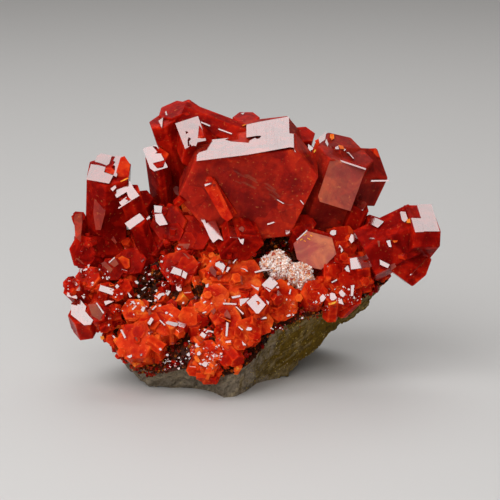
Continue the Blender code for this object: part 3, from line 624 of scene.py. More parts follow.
      ((530, 150), (570, 140), (595, 180), (580, 190)),
      ((615, 70), (640, 60), (655, 95), (630, 105)),
      ((835, 130), (870, 115), (877, 140), (845, 150)),
      ((665, 260), (690, 215), (720, 225), (715, 247), (695, 282)),
      ((545, 250), (600, 200), (610, 212), (560, 264)),
      ((360, 280), (395, 245), (402, 257), (375, 292)),
      ((235, 350), (265, 340), (275, 370), (240, 385)),
      ((750, 430), (800, 355), (832, 385), (785, 460))),
     (VEILED_SHEEN, ((750, 260), (790, 250), (800, 310), (770, 335))),
     (BRIGHT,
      ((755, 545), (790, 520), (820, 555), (790, 585), (765, 575)),
      ((395, 520), (417, 515), (472, 620), (450, 632)),
      ((285, 590), (302, 583), (350, 645), (335, 657))),
     (VEILED_SHEEN, ((580, 620), (600, 610), (625, 660), (610, 670))),
     (BRIGHT,
      ((480, 865), (545, 845), (550, 870), (515, 892)),
      ((645, 845), (680, 830), (682, 860), (655, 862)),
      ((900, 765), (925, 755), (940, 785), (912, 792)),
      ((1060, 690), (1100, 680), (1112, 700), (1080, 715)),
      ((1120, 690), (1150, 680), (1157, 705), (1130, 712)),
      ((400, 865), (422, 870), (437, 920), (415, 917))),
     (GOLDEN, ((130, 605), (180, 600), (190, 640), (145, 655))),
     (BRIGHT,
      ((1370, 720), (1400, 710), (1425, 745), (1385, 750)),
      ((1400, 820), (1430, 795), (1452, 830), (1430, 857), (1400, 850)),
      ((1260, 840), (1290, 815), (1325, 850), (1300, 867), (1270, 860)),
      ((1460, 975), (1490, 935), (1545, 950), (1515, 1010), (1475, 990))),
     (GOLDEN, ((1360, 880), (1400, 860), (1440, 920), (1420, 950), (1380, 930))),
     (BRIGHT, ((1140, 1020), (1170, 1010), (1177, 1035), (1150, 1042)))),
    (Close(60, 220, 15.68),
     (BRIGHT, ((310, 1235), (175, 1305), (172, 1485), (380, 1650), (480, 1640), (520, 1570), (450, 1500),
               (395, 1420), (410, 1355), (380, 1325))),
     (VEILED_SHEEN, ((440, 1320), (560, 1310), (670, 1480), (620, 1568), (500, 1500))),
     (BRIGHT,
      ((632, 1018), (850, 1085), (826, 1178), (608, 1105)),
      ((895, 1005), (932, 1040), (890, 1077), (863, 1040)),
      ((762, 662), (850, 583), (865, 592), (775, 675))),
     (VEILED_SHEEN,
      ((780, 680), (865, 600), (920, 690), (850, 740)),
      ((640, 680), (700, 650), (830, 770), (790, 830))),
     (BRIGHT,
      ((690, 1275), (840, 1243), (852, 1270), (710, 1337)),
      ((562, 1302), (578, 1293), (692, 1455), (675, 1472)),
      ((115, 1133), (272, 1180), (265, 1237), (108, 1195)),
      ((178, 960), (215, 923), (282, 1010), (255, 1037)),
      ((305, 1030), (327, 1060), (315, 1112), (258, 1105)),
      ((335, 1180), (395, 1200), (370, 1237)),
      ((1060, 1125), (1130, 1200), (1090, 1217)),
      ((1275, 1090), (1355, 1035), (1365, 1050), (1287, 1104)),
      ((1258, 640), (1320, 598), (1328, 620), (1280, 662)),
      ((1170, 960), (1200, 950), (1235, 980), (1220, 1005), (1190, 995)),
      ((300, 780), (330, 760), (355, 765), (335, 790), (340, 830), (310, 810)),
      ((355, 790), (395, 762), (430, 758), (425, 785), (370, 800)),
      ((330, 870), (365, 860), (375, 890), (345, 900)),
      ((480, 985), (520, 965), (535, 990), (505, 1000))),
     (HAZED_SHEEN,
      ((232, 592), (290, 600), (385, 690), (350, 690)),
      ((800, 300), (840, 250), (890, 350), (870, 380))),
     (BRIGHT,
      ((1205, 1295), (1240, 1285), (1245, 1315), (1215, 1325)),
      ((1275, 1400), (1310, 1360), (1340, 1370), (1310, 1440), (1280, 1430))),
     (GOLDEN, ((770, 985), (790, 1020), (850, 1015), (850, 1030), (780, 1038)))),
)


# Directions and the picture

def direction(azimuth, elevation):
    """A unit vector, `azimuth` degrees round from -Y towards +X and `elevation` degrees up."""
    a = math.radians(azimuth)
    e = math.radians(elevation)
    return Vector((math.sin(a) * math.cos(e), -math.cos(a) * math.cos(e), math.sin(e)))


TO_CAMERA = direction(0.0, CAMERA_ELEVATION)
CAMERA_PLACE = CAMERA_TARGET + TO_CAMERA * CAMERA_DISTANCE
PICTURE_RIGHT = Vector((1.0, 0.0, 0.0))
PICTURE_UP = TO_CAMERA.cross(PICTURE_RIGHT)
TO_BACK = direction(BACK_SOFTBOX.azimuth, BACK_SOFTBOX.elevation)
FOCAL = CAMERA_LENS / SENSOR * PICTURE


def in_picture(point):
    """The pixel at which the camera sees a point."""
    away = point - CAMERA_TARGET
    scale = FOCAL / (CAMERA_DISTANCE - away.dot(TO_CAMERA))
    return PICTURE / 2 + away.dot(PICTURE_RIGHT) * scale, PICTURE / 2 - away.dot(PICTURE_UP) * scale


def line_of_sight(u, v):
    """The direction from the camera through a pixel."""
    sideways = PICTURE_RIGHT * (u - PICTURE / 2) + PICTURE_UP * (PICTURE / 2 - v)
    return (sideways / FOCAL - TO_CAMERA).normalized()


def on_plane(u, v, through, normal):
    """Where the line of sight through a pixel meets a plane."""
    ray = line_of_sight(u, v)
    return CAMERA_PLACE + ray * ((through - CAMERA_PLACE).dot(normal) / ray.dot(normal))


def inside(u, v, outline):
    """True if a pixel lies inside an outline of pixels."""
    crossings = 0
    for (u0, v0), (u1, v1) in zip(outline, outline[1:] + outline[:1]):
        if (v0 > v) != (v1 > v) and u < u0 + (v - v0) / (v1 - v0) * (u1 - u0):
            crossings += 1
    return crossings % 2 == 1


def is_bare(spec):
    """True where the picture shows no small crystal: on a wide plain face, or beyond the cluster."""
    u, v = in_picture(Vector(spec.end))
    return any(inside(u, v, outline) for outline in (SURROUNDINGS,) + CLEAR_FACES)


def in_dark_zone(point):
    return any(inside(*in_picture(point), outline) for outline in DARK_ZONES)


# Faces that small things stand on, chosen by their middle and normal

def everywhere(middle, normal):
    return True


def outer_side(middle, normal):
    return normal.dot(SLOPE_OUTWARD) > 0.1


def on_back(middle, normal):
    return normal.y > 0.3 and normal.dot(SLOPE_OUTWARD) > -0.9


def on_left_edge(middle, normal):
    return middle.x < LEFT_EDGE and middle.z < LEFT_EDGE_TOP and normal.x < -0.5


def on_right_slope(middle, normal):
    return middle.x > RIGHT_SLOPE_START and normal.y < 0.2


def in_foot_zone(middle, normal):
    return normal.dot(TO_CAMERA) > 0.1 and inside(*in_picture(middle), FOOT_ZONE)


# Random values

def sized(chance, sizes, bias):
    """A size from the least to the most. The higher `bias` is, the commoner the small ones are."""
    least, most = sizes
    return least * (most / least) ** (chance.random() ** bias)


def any_way(chance, spread):
    return Vector([chance.gauss(0, spread) for _ in range(3)])


def varied(chance, value, spread):
    return value + chance.uniform(-spread, spread)


# Making meshes

def link_object(name, data):
    item = bpy.data.objects.new(name, data)
    bpy.context.collection.objects.link(item)
    return item


def mesh_part(name, mesh):
    """A mesh as a (name, corners, faces), in millimetres."""
    return name, [vert.co / MM for vert in mesh.vertices], [tuple(face.vertices) for face in mesh.polygons]


def cad_part(node):
    return mesh_part(node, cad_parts[node].data)


def laid_flat(corners, faces):
    """The corners of each face as they lie from the front."""
    return [[(corners[corner].x, corners[corner].z) for corner in face] for face in faces]


class Pile:
    """Many small solids for one mesh. Each corner has a look: its tone (0 deep red, 1 orange, 2
    golden), its rim of painted edge glow (1 at the edges of a face) and its painted sheen (1 where it
    is paler). Each face has its corners' places on it, across and along its growth, and the number of
    its material."""

    def __init__(self):
        self.corners = []
        self.looks = []
        self.faces = []
        self.flats = []
        self.finishes = []

    def add(self, corners, looks, faces, flats, finishes):
        first = len(self.corners)
        self.corners += corners
        self.looks += looks
        self.faces += [tuple(first + corner for corner in face) for face in faces]
        self.flats += flats
        self.finishes += finishes

    def add_part(self, part, look):
        """A part, all in one look and the first material."""
        _, corners, faces = part
        self.add(corners, [look] * len(corners), faces, laid_flat(corners, faces), [0] * len(faces))

    def make(self, name):
        mesh = bpy.data.meshes.new(name)
        above_ground = [Vector((corner.x, corner.y, max(corner.z, 0.0))) for corner in self.corners]
        mesh.from_pydata([corner * MM for corner in above_ground], [], self.faces)
        looks = mesh.attributes.new("look", "FLOAT_COLOR", "POINT")
        looks.data.foreach_set("color", [value for look in self.looks for value in (*look, 1.0)])
        growth = mesh.uv_layers.new(name="growth")
        growth.data.foreach_set("uv", [value for flat in self.flats for uv in flat for value in uv])
        mesh.polygons.foreach_set("material_index", [int(finish) for finish in self.finishes])
        return link_object(name, mesh)


class Surface:
    """Parts, each a (name, corners, faces), as one surface that small things are set on."""

    def __init__(self, parts):
        self.corners = []
        self.faces = []
        self.owners = []
        for name, corners, faces in parts:
            first = len(self.corners)
            self.corners += corners
            self.faces += [tuple(first + corner for corner in face) for face in faces]
            self.owners += [name] * len(faces)
        self.tree = BVHTree.FromPolygons(self.corners, self.faces)

    def seen_at(self, u, v):
        """What the camera sees at a pixel: the place, its part and its normal, or None for each."""
        place, normal, index, _ = self.tree.ray_cast(CAMERA_PLACE, line_of_sight(u, v))
        return (None, None, None) if place is None else (place, self.owners[index], normal)

    def scatter(self, count, chance, wanted):
        """Random (place, normal) on the faces whose (middle, normal) is wanted."""
        triangles, areas = [], []
        for face in self.faces:
            for second, third in zip(face[1:], face[2:]):
                a, b, c = (self.corners[corner] for corner in (face[0], second, third))
                cross = (b - a).cross(c - a)
                if cross.length > LEAST_AREA and wanted((a + b + c) / 3, cross.normalized()):
                    triangles.append((a, b, c, cross.normalized()))
                    areas.append(cross.length)
        for a, b, c, normal in chance.choices(triangles, areas, k=count):
            s, t = chance.random(), chance.random()
            if s + t > 1.0:
                s, t = 1.0 - s, 1.0 - t
            yield a + (b - a) * s + (c - a) * t, normal


# Faces that mirror a softbox

def middle_of(softbox):
    return SOFTBOX_TARGET + direction(softbox.azimuth, softbox.elevation) * softbox.distance


def catches_light(place, normal, softbox):
    """True if a face there that looks this way mirrors a softbox to the camera."""
    towards = direction(softbox.azimuth, softbox.elevation)
    to_camera = (CAMERA_PLACE - place).normalized()
    mirrored = normal * (2 * normal.dot(to_camera)) - to_camera
    if mirrored.dot(towards) < MIRROR_LEAST:
        return False
    middle = middle_of(softbox)
    away = place + mirrored * ((middle - place).dot(towards) / mirrored.dot(towards)) - middle
    sideways = UP.cross(towards).normalized()
    upward = towards.cross(sideways)
    return (abs(away.dot(sideways)) < softbox.width / 2 * MIRROR_MARGIN
            and abs(away.dot(upward)) < softbox.height / 2 * MIRROR_MARGIN)


def bright_normal(place, softbox, chance):
    """The way a face there looks that mirrors a softbox to the camera."""
    stray = any_way(chance, STRAY)
    to_camera = (CAMERA_PLACE - place).normalized()
    return (to_camera + (middle_of(softbox) - place).normalized() + stray).normalized()


def softbox_for(place, surface):
    """The softbox that a bright face there mirrors."""
    before_surface = place + (TO_BACK + TO_CAMERA) * OFF_SURFACE
    blocked = surface.tree.ray_cast(before_surface, TO_BACK)[0]
    return TOP_SOFTBOX if blocked else BACK_SOFTBOX


# Crystals

def crystal_axes(spec):
    """The long axis, and the two directions across it that `roll` has turned."""
    along = direction(spec.azimuth, spec.elevation)
    upward = -direction(spec.azimuth, spec.elevation - 90.0)
    roll = math.radians(spec.roll)
    first = upward * math.cos(roll) + along.cross(upward) * math.sin(roll)
    return along, first, along.cross(first)


def hexagon(distances):
    """The corners between six lines whose normals are 60 degrees apart, each at its own distance."""
    corners = []
    for side in range(6):
        here = distances[side]
        there = distances[(side + 1) % 6]
        angle = math.radians(60 * side)
        along_side = (there - here / 2) / math.sin(SIXTH_TURN)
        corners.append((here * math.cos(angle) - along_side * math.sin(angle),
                        here * math.sin(angle) + along_side * math.cos(angle)))
    return corners


def ring_points(distances, steps):
    """The hexagon's outline, each side cut at `steps` from its two ends."""
    corners = hexagon(distances)
    points = []
    for side in range(6):
        start = Vector(corners[side - 1])
        end = Vector(corners[side])
        way = end - start
        length = way.length
        way.normalize()
        shares = [min(step, length * MOST_OF_SIDE) for step in steps]
        points += [start + way * step for step in shares]
        points += [end - way * step for step in reversed(shares)]
    return points


def add_prism(pile, spec, tone, rimmed=True, may_shine=True, painted_sheen=0.0):
    """A crystal with cut edges, and with a rim of painted edge glow on each face unless it is too small
    for one.
    """
    along, first, second = crystal_axes(spec)
    cut = min(MOST_CHAMFER, spec.half * CHAMFER)
    glow_rim = min(MOST_GLOW_RIM, spec.half * GLOW_RIM)
    steps = (cut, cut + glow_rim) if rimmed else (cut,)
    distances = [spec.half * side for side in spec.sides]
    # Rings from the root to the end, each as how far from the end, how far in, and its painted glow rim
    levels = [(spec.length, 0.0, 0.0), (cut + glow_rim, 0.0, 0.0), (cut, 0.0, 1.0), (0.0, cut, 1.0)]
    if rimmed:
        levels.append((0.0, cut + glow_rim, 0.0))
    else:
        levels.pop(1)
    per_side = 2 * len(steps)
    around = 6 * per_side
    corners, looks, places = [], [], []
    for down, inset, at_glow_rim in levels:
        ring = ring_points([distance - inset for distance in distances], steps)
        for place, point in enumerate(ring):
            corners.append(Vector(spec.end) - along * down + first * point.x + second * point.y)
            at_edge = place % per_side in (0, per_side - 1) and inset == 0.0
            looks.append((tone, 1.0 if at_edge else at_glow_rim, painted_sheen))
            places.append((point.x, point.y, down))
    side_shines, faces, flats, finishes = [], [], [], []
    for side in range(6):
        angle = math.radians(60 * side)
        outward = first * math.cos(angle) + second * math.sin(angle)
        side_shines.append(may_shine and catches_light(Vector(spec.end), outward, BACK_SOFTBOX))
    end_shines = may_shine and catches_light(Vector(spec.end), along, BACK_SOFTBOX)
    for level in range(len(levels) - 1):
        for place in range(around):
            after = (place + 1) % around
            face = (level * around + place, (level + 1) * around + place,
                    (level + 1) * around + after, level * around + after)
            faces.append(face)
            side = place // per_side
            angle = math.radians(60 * side + 90)
            across = (math.cos(angle), math.sin(angle))
            flats.append([(places[c][0] * across[0] + places[c][1] * across[1], places[c][2]) for c in face])
            on_end = levels[level][1] > 0.0
            finishes.append(end_shines if on_end else side_shines[side])
    root = tuple(range(around - 1, -1, -1))
    last = len(levels) - 1
    end = tuple(range(last * around, (last + 1) * around))
    flats += [[(places[c][1], places[c][0]) for c in cap] for cap in (root, end)]
    pile.add(corners, looks, faces + [root, end], flats, finishes + [False, end_shines])


def add_growth(pile, spec, tone, growth, chance):
    """Smaller crystals grown along a crystal, about in line with it, that end near its own end."""
    along, first, second = crystal_axes(spec)
    for _ in range(growth.count):
        angle = chance.uniform(0, 2 * math.pi)
        share = chance.uniform(*growth.shares)
        side = spec.sides[round(angle / SIXTH_TURN) % 6]
        reach = spec.half * (side * growth.spread + chance.uniform(*GROWTH_STRAY))
        end = (Vector(spec.end) + first * math.cos(angle) * reach + second * math.sin(angle) * reach
               - along * spec.half * chance.uniform(*growth.drop))
        part = spec._replace(end=tuple(end), azimuth=spec.azimuth + chance.gauss(0, growth.turn),
                             elevation=spec.elevation + chance.gauss(0, growth.turn),
                             half=spec.half * share, sides=EVEN,
                             length=spec.length * chance.uniform(*GROWTH_LENGTHS))
        add_prism(pile, part, varied(chance, tone, GROWTH_TONE_SPREAD))


def angles_of(along, first):
    """The azimuth, elevation and roll that turn a crystal's axis and first face these ways."""
    azimuth = math.degrees(math.atan2(along.x, -along.y))
    elevation = math.degrees(math.asin(max(-1.0, min(1.0, along.z))))
    upward = -direction(azimuth, elevation - 90.0)
    sideways = along.cross(upward)
    return azimuth, elevation, math.degrees(math.atan2(first.dot(sideways), first.dot(upward)))


def small_crystal(place, normal, half, length, chance, bright_share):
    """A crystal that stands on a surface, now and then turned so that a face catches the light."""
    out = (normal + any_way(chance, LEAN)).normalized()
    roll = chance.uniform(0, 60)
    if chance.random() < bright_share:
        bright = bright_normal(place, BACK_SOFTBOX, chance)
        if chance.random() < TURNED_END:
            out = bright
        else:
            out = (out - bright * out.dot(bright)).normalized()
            roll = angles_of(out, bright)[2]
    azimuth, elevation, _ = angles_of(out, UP.cross(out))
    end = place + out * length * STANDS_OUT
    return Crystal(tuple(end), azimuth, elevation, roll, half, length)


def strew_crystals(pile, surface, strewn, wanted, chance):
    """Small crystals on the wanted faces of a surface."""
    for place, normal in surface.scatter(strewn.count, chance, wanted):
        half = chance.uniform(*strewn.halves)
        length = half * chance.uniform(*strewn.lengths)
        spec = small_crystal(place, normal, half, length, chance, strewn.bright)
        if strewn.anywhere or not is_bare(spec):
            add_prism(pile, spec, chance.uniform(*strewn.tones), rimmed=strewn.rimmed)


def grow_group(group):
    """The pile of a group's crystals, with the small ones that grow on them."""

    def is_low(middle, normal):
        return middle.z < group.top

    chance = random.Random(group.node)
    pile = Pile()
    for row in group.crystals:
        spec = Crystal(*row)
        tone = varied(chance, group.tone, GROUP_TONE_SPREAD)
        # Big crystals get a little painted sheen
        painted_sheen = GREAT_PAINTED_SHEEN if spec.half > GREAT_HALF else 0.0
        add_prism(pile, spec, tone, may_shine=False, painted_sheen=painted_sheen)
        is_small = spec.half < BLOCKY_HALF and spec.end[0] < BLOCKY_RIGHT and spec.end[2] < BLOCKY_TOP
        if spec.half < THIN_HALF:
            add_growth(pile, spec, tone, THIN_GROWTH, chance)
        elif is_small or group.slot == ORANGE_RED:
            add_growth(pile, spec, tone, BLOCKY_GROWTH, chance)
    surface = Surface([cad_part(group.node)])
    for place, normal in surface.scatter(group.sprouts, chance, is_low):
        half = sized(chance, group.halves, SPROUT_BIAS)
        length = half * chance.uniform(*SPROUT_LENGTHS)
        spec = small_crystal(place, normal, half, length, chance, SPROUT_BRIGHT)
        if not is_bare(spec) and (half < SPROUT_SMALLEST or not in_dark_zone(Vector(spec.end))):
            tone = varied(chance, group.tone, SPROUT_TONE_SPREAD)
            add_prism(pile, spec, tone, rimmed=half > FINE_CRYSTAL)
    return pile


# Faces drawn from the picture

def add_block(pile, front, back, front_look, back_look, shines):
    """A block between two loops of corners, whose front may shine."""
    count = len(front)
    corners = front + back
    faces = [tuple(range(count)), tuple(range(2 * count - 1, count - 1, -1))]
    faces += [(i, count + i, count + (i + 1) % count, (i + 1) % count) for i in range(count)]
    looks = [front_look] * count + [back_look] * count
    pile.add(corners, looks, faces, laid_flat(corners, faces), [shines] + [False] * (count + 1))


def slab_on(before, kind, pixels):
    """A pit or fleck, on the face drawn before it."""
    through = before.through + TO_CAMERA * MARK_LIFT
    corners = [on_plane(u, v, through, before.normal) for u, v in pixels]
    return Slab(kind, before.owner, before.normal, through, MARK_DEPTH, corners)


def seen_within(pixels, surface):
    """The middle of an outline of pixels, and what the camera sees at places within it."""
    u0 = sum(u for u, _ in pixels) / len(pixels)
    v0 = sum(v for _, v in pixels) / len(pixels)
    samples = [(u0, v0)] + [(u * share + u0 * (1 - share), v * share + v0 * (1 - share))
                            for u, v in pixels for share in SAMPLES]
    seen = [surface.seen_at(u, v) for u, v in samples if inside(u, v, pixels)]
    return (u0, v0), [sight for sight in seen if sight[0] is not None]


def slab_in_place(kind, pixels, surface, chance):
    """A face set on what the camera sees there."""
    middle, seen = seen_within(pixels, surface)
    place, owner, normal = max(seen, key=lambda sight: sum(sight[2].dot(other[2]) > SAME_FACE
                                                           for other in seen))
    if kind == BRIGHT:
        softbox = softbox_for(place, surface)
        if not catches_light(on_plane(*middle, place, normal), normal, softbox):
            normal = bright_normal(place, softbox, chance)
    elif normal.dot(TO_CAMERA) < SLAB_STEEP:
        normal = TO_CAMERA
    hidden, sunk = 0.0, SLAB_LEAST_DEPTH
    for other, _, _ in seen + [surface.seen_at(u, v) for u, v in pixels]:
        if other is None:
            continue
        gap = (on_plane(*in_picture(other), place, normal) - other).dot(TO_CAMERA)
        if -SLAB_MOST_LIFT < gap < 0.0:
            hidden = max(hidden, -gap)
        elif gap < SLAB_MOST_DEPTH:
            sunk = max(sunk, gap)
    through = place + TO_CAMERA * (hidden + SLAB_LIFT)
    corners = [on_plane(u, v, through, normal) for u, v in pixels]
    return Slab(kind, owner, normal, through, hidden + sunk + SLAB_LIFT + SLAB_ROOT, corners)


def add_slab(pile, slab):
    """A slab whose body runs back along the lines of sight."""
    corners = slab.corners
    turning = sum((corners[i - 1].cross(corners[i]) for i in range(len(corners))), Vector())
    front = corners if turning.dot(slab.normal) > 0 else corners[::-1]
    back = [corner + (corner - CAMERA_PLACE).normalized() * slab.depth for corner in front]
    add_block(pile, front, back, KIND_LOOKS[slab.kind], SLAB_BODY_LOOK, slab.kind == BRIGHT)


def add_faces(piles, spare, surface):
    """The faces that stand out in the picture, each in the pile of the group that it lies on, or else
    in a spare pile."""
    chance = random.Random(FACES_SEED)
    slab = None
    for close, *table in FACES:
        for kind, *outlines in table:
            for outline in outlines:
                pixels = [(close.left + x / close.enlargement, close.top + y / close.enlargement)
                          for x, y in outline]
                if kind in (PIT_SHADE, FLECK):
                    slab = slab_on(slab, kind, pixels)
                else:
                    slab = slab_in_place(kind, pixels, surface, chance)
                add_slab(piles.get(slab.owner, spare), slab)


def add_glints(pile, surface):
    """Tiny bright blocks where the picture glitters, each with a face that catches the light."""
    chance = random.Random(GLINTS_SEED)
    for count, outline in GLINT_ZONES:
        left, right = min(u for u, _ in outline), max(u for u, _ in outline)
        top, bottom = min(v for _, v in outline), max(v for _, v in outline)
        for _ in range(count):
            u, v = chance.uniform(left, right), chance.uniform(top, bottom)
            place, _, _ = surface.seen_at(u, v)
            if place is None or not inside(u, v, outline):
                continue
            size = sized(chance, GLINT_SIZES, GLINT_BIAS)
            bright = bright_normal(place, softbox_for(place, surface), chance)
            first = bright.cross(Vector((chance.gauss(0, 1), 0.0, chance.gauss(0, 1)))).normalized() * size
            second = bright.cross(first) * chance.uniform(*GLINT_WIDTHS)
            middle = place + TO_CAMERA * size * STANDS_OUT
            front = [middle + first + second, middle - first + second,
                     middle - first - second, middle + first - second]
            back = [corner - bright * size * GLINT_DEPTH for corner in front]
            add_block(pile, front, back, GLINT_LOOK, GLINT_LOOK, True)


# Grains and rock

def add_grain(pile, place, normal, size, tone, chance, finish):
    """An eight-sided grain, its points off centre, in one of the piece's materials."""
    first = normal.cross(any_way(chance, 1)).normalized()
    second = normal.cross(first)
    corners = [place + normal * size * chance.uniform(*GRAIN_TOPS), place - normal * size]
    for step in range(4):
        angle = math.pi / 2 * step
        reach = size * chance.uniform(*GRAIN_REACHES)
        corners.append(place + (first * math.cos(angle) + second * math.sin(angle)) * reach)
    faces = []
    for step in range(4):
        here, after = 2 + step, 2 + (step + 1) % 4
        faces += [(0, here, after), (1, after, here)]
    pile.add(corners, [(tone, 0.0, 1.0)] * 6, faces, [[(0.0, 0.0)] * 3] * 8, [finish] * 8)


def strew_grains(pile, surface, grains, wanted, chance):
    """Grains on the wanted faces of a surface, some of them in the sparkling material."""
    for place, normal in surface.scatter(grains.count, chance, wanted):
        size = sized(chance, grains.sizes, grains.bias)
        tone = grains.tone * chance.random() ** grains.tone_bias
        sparkles = grains.sparkling > 0.0 and chance.random() < grains.sparkling
        add_grain(pile, place + normal * size * grains.raised, normal, size, tone, chance, sparkles)


def grow_druse(rock):
    """The pile of the dark crust with its grains, and that of the small crystals that stand on it and
    on the rock below it."""
    chance = random.Random(DRUSE_SEED)
    back_chance = random.Random(BACK_SEED)
    crust = cad_part("druse_crust")
    surface = Surface([crust])
    grains, crystals = Pile(), Pile()
    grains.add_part(crust, CRUST_LOOK)
    strew_grains(grains, surface, DRUSE_GRAINS, outer_side, chance)
    strew_grains(grains, surface, BACK_GRAINS, on_back, back_chance)
    strew_crystals(crystals, surface, BACK_CRYSTALS, on_back, back_chance)
    strew_grains(grains, rock, FOOT_GRAINS, in_foot_zone, chance)
    strew_crystals(crystals, rock, FOOT_CRYSTALS, in_foot_zone, chance)
    strew_crystals(crystals, surface, EDGE_CRYSTALS, on_left_edge, chance)
    for place, normal in surface.scatter(DRUSE_CRYSTALS, chance, outer_side):
        dark = in_dark_zone(place)
        half = sized(chance, DARK_HALVES if dark else DRUSE_HALVES, DRUSE_BIAS)
        length = half * chance.uniform(*DRUSE_LENGTHS)
        spec = small_crystal(place, normal, half, length, chance, DRUSE_BRIGHT)
        tone = chance.uniform(*(DARK_TONES if dark else DRUSE_TONES))
        if not is_bare(spec):
            add_prism(crystals, spec, tone, rimmed=half > FINE_CRYSTAL)
    return grains, crystals


def grow_patch():
    """The pile of the crumbly patch: the CAD lumps with crumbs all over them."""
    lumps = cad_part("pale_crust_patch")
    pile = Pile()
    pile.add_part(lumps, LUMP_LOOK)
    strew_grains(pile, Surface([lumps]), PATCH_CRUMBS, everywhere, random.Random(PATCH_SEED))
    return pile


def add_rock_sparks(pile, rock):
    """Golden grains on the rock's right slope."""
    chance = random.Random(SPARKS_SEED)
    for place, normal in rock.scatter(ROCK_SPARKS, chance, on_right_slope):
        add_grain(pile, place, normal, chance.uniform(*SPARK_SIZES), 1.0, chance, GOLDEN_GRAINS)


def chip_height(point, chips):
    """The height of a broken surface: each chip is a flat that slopes a way of its own."""
    fineness, height = chips
    middle = noise.voronoi(point * fineness)[1][0]
    slope = noise.noise_vector(middle * CHIP_SLOPES)
    return (point * fineness - middle).dot(slope) / fineness * height


def rock_height(point):
    """How far the broken surface of the rock stands out at a place on the CAD rock."""
    if point.z < ROCK_FOOT:
        return 0.0
    chips = chip_height(point, BIG_CHIPS) + chip_height(point + SMALL_CHIPS_SHIFT, SMALL_CHIPS)
    folds = noise.ridged_multi_fractal(point * FOLDS[0], *FOLD_SETTINGS) * FOLDS[1] - FOLD_SINK
    grit = sum(noise.noise(point * fineness) * height for fineness, height in (COARSE_GRIT, FINE_GRIT))
    return chips + folds + grit


def make_rock():
    """Makes the piece of the rock, the CAD rock with a broken surface, and gives that surface."""
    noise.seed_set(CHIPS_SEED)
    shape = bmesh.new()
    shape.from_mesh(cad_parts["matrix_rock"].data)
    bmesh.ops.remove_doubles(shape, verts=shape.verts, dist=ROCK_JOIN * MM)
    bmesh.ops.triangulate(shape, faces=shape.faces)
    bmesh.ops.subdivide_edges(shape, edges=shape.edges, cuts=ROCK_CUTS, use_grid_fill=True)
    shape.normal_update()
    moves = [(vert, vert.normal * rock_height(vert.co / MM)) for vert in shape.verts]
    for vert, move in moves:
        vert.co += move * MM
        vert.co.z = max(vert.co.z, 0.0)
    mesh = bpy.data.meshes.new("matrix_rock_detail")
    shape.to_mesh(mesh)
    shape.free()
    dress(link_object(mesh.name, mesh), "matrix_rock", [rock_material()], "matrix_rock")
    return Surface([mesh_part("matrix_rock", mesh)])


# Materials

# The places of a Mix node's colours among its inputs and outputs
COLOUR_A = 6
COLOUR_B = 7
MIXED_COLOUR = 2


class Shading:
    """A new material: its Principled BSDF and the nodes that feed it."""

    def __init__(self, name):
        self.material = bpy.data.materials.new(name)
        self.material.use_nodes = True
        self.tree = self.material.node_tree
        self.shader = self.tree.nodes["Principled BSDF"]

    def give(self, socket, value):
        """Sets an input to a value, or links it to another node's output."""
        if isinstance(value, bpy.types.NodeSocket):
            self.tree.links.new(value, socket)
        elif socket.type == "RGBA":
            socket.default_value = (*value, 1.0)
        else:
            socket.default_value = value

    def finish(self, **inputs):
        """Sets inputs of the Principled BSDF, named with underscores, and gives the material."""
        for name, value in inputs.items():
            self.give(self.shader.inputs[name.replace("_", " ")], value)
        return self.material

    def node(self, kind, inputs, **properties):
        node = self.tree.nodes.new(kind)
        for name, value in properties.items():
            setattr(node, name, value)
        for place, value in inputs.items():
            self.give(node.inputs[place], value)
        return node

    def place(self):
        return self.node("ShaderNodeTexCoord", {}).outputs["Object"]

    def split(self, colour):
        """The three parts of a colour."""
        return self.node("ShaderNodeSeparateColor", {"Color": colour}).outputs

    def look(self):
        """The tone, painted glow rim and painted sheen of a mesh made by Pile."""
        return self.split(self.node("ShaderNodeAttribute", {}, attribute_name="look").outputs["Color"])

    def stretched(self, vector, scale):
        return self.node("ShaderNodeMapping", {"Vector": vector, "Scale": scale}).outputs["Vector"]

    def noise(self, vector, scale=1.0, detail=4.0, roughness=0.6, distortion=0.0):
        inputs = {"Vector": vector, "Scale": scale, "Detail": detail, "Roughness": roughness,
                  "Distortion": distortion}
        return self.node("ShaderNodeTexNoise", inputs).outputs["Fac"]

    def cells(self, vector):
        """A random value for each cell of a network of cells."""
        texture = self.node("ShaderNodeTexVoronoi", {"Vector": vector, "Scale": 1.0})
        return self.split(texture.outputs["Color"])[0]

    def weighted(self, total, *terms):
        """A first number plus all (value, weight) terms, each value times its weight."""
        for value, weight in terms:
            inputs = {0: value, 1: weight, 2: total}
            total = self.node("ShaderNodeMath", inputs, operation="MULTIPLY_ADD").outputs[0]
        return total

    def ramp(self, factor, *stops):
        """A colour ramp through (place, colour) stops."""
        node = self.node("ShaderNodeValToRGB", {"Fac": factor})
        elements = node.color_ramp.elements
        while len(elements) < len(stops):
            elements.new(0.5)
        for element, (place, colour) in zip(elements, stops):
            element.position = place
            element.color = (*colour, 1.0)
        return node.outputs["Color"]

    def mask(self, factor, *stops):
        """A ramp through (place, shade of grey) stops."""
        return self.ramp(factor, *[(place, (grey, grey, grey)) for place, grey in stops])

    def mix(self, factor, first, second):
        """Two colours mixed, all the second where the factor is 1."""
        inputs = {0: factor, COLOUR_A: first, COLOUR_B: second}
        return self.node("ShaderNodeMix", inputs, data_type="RGBA").outputs[MIXED_COLOUR]

    def bump(self, height, distance, strength):
        inputs = {"Height": height, "Distance": distance, "Strength": strength}
        self.finish(Normal=self.node("ShaderNodeBump", inputs).outputs["Normal"])


CRYSTAL_COLOURS = ((0.0, (0.050, 0.0007, 0.0007)), (0.3, (0.22, 0.003, 0.002)), (0.52, (0.46, 0.010, 0.003)),
                   (0.72, (0.74, 0.055, 0.008)), (0.9, (0.90, 0.16, 0.02)), (1.0, (1.0, 0.42, 0.05)))
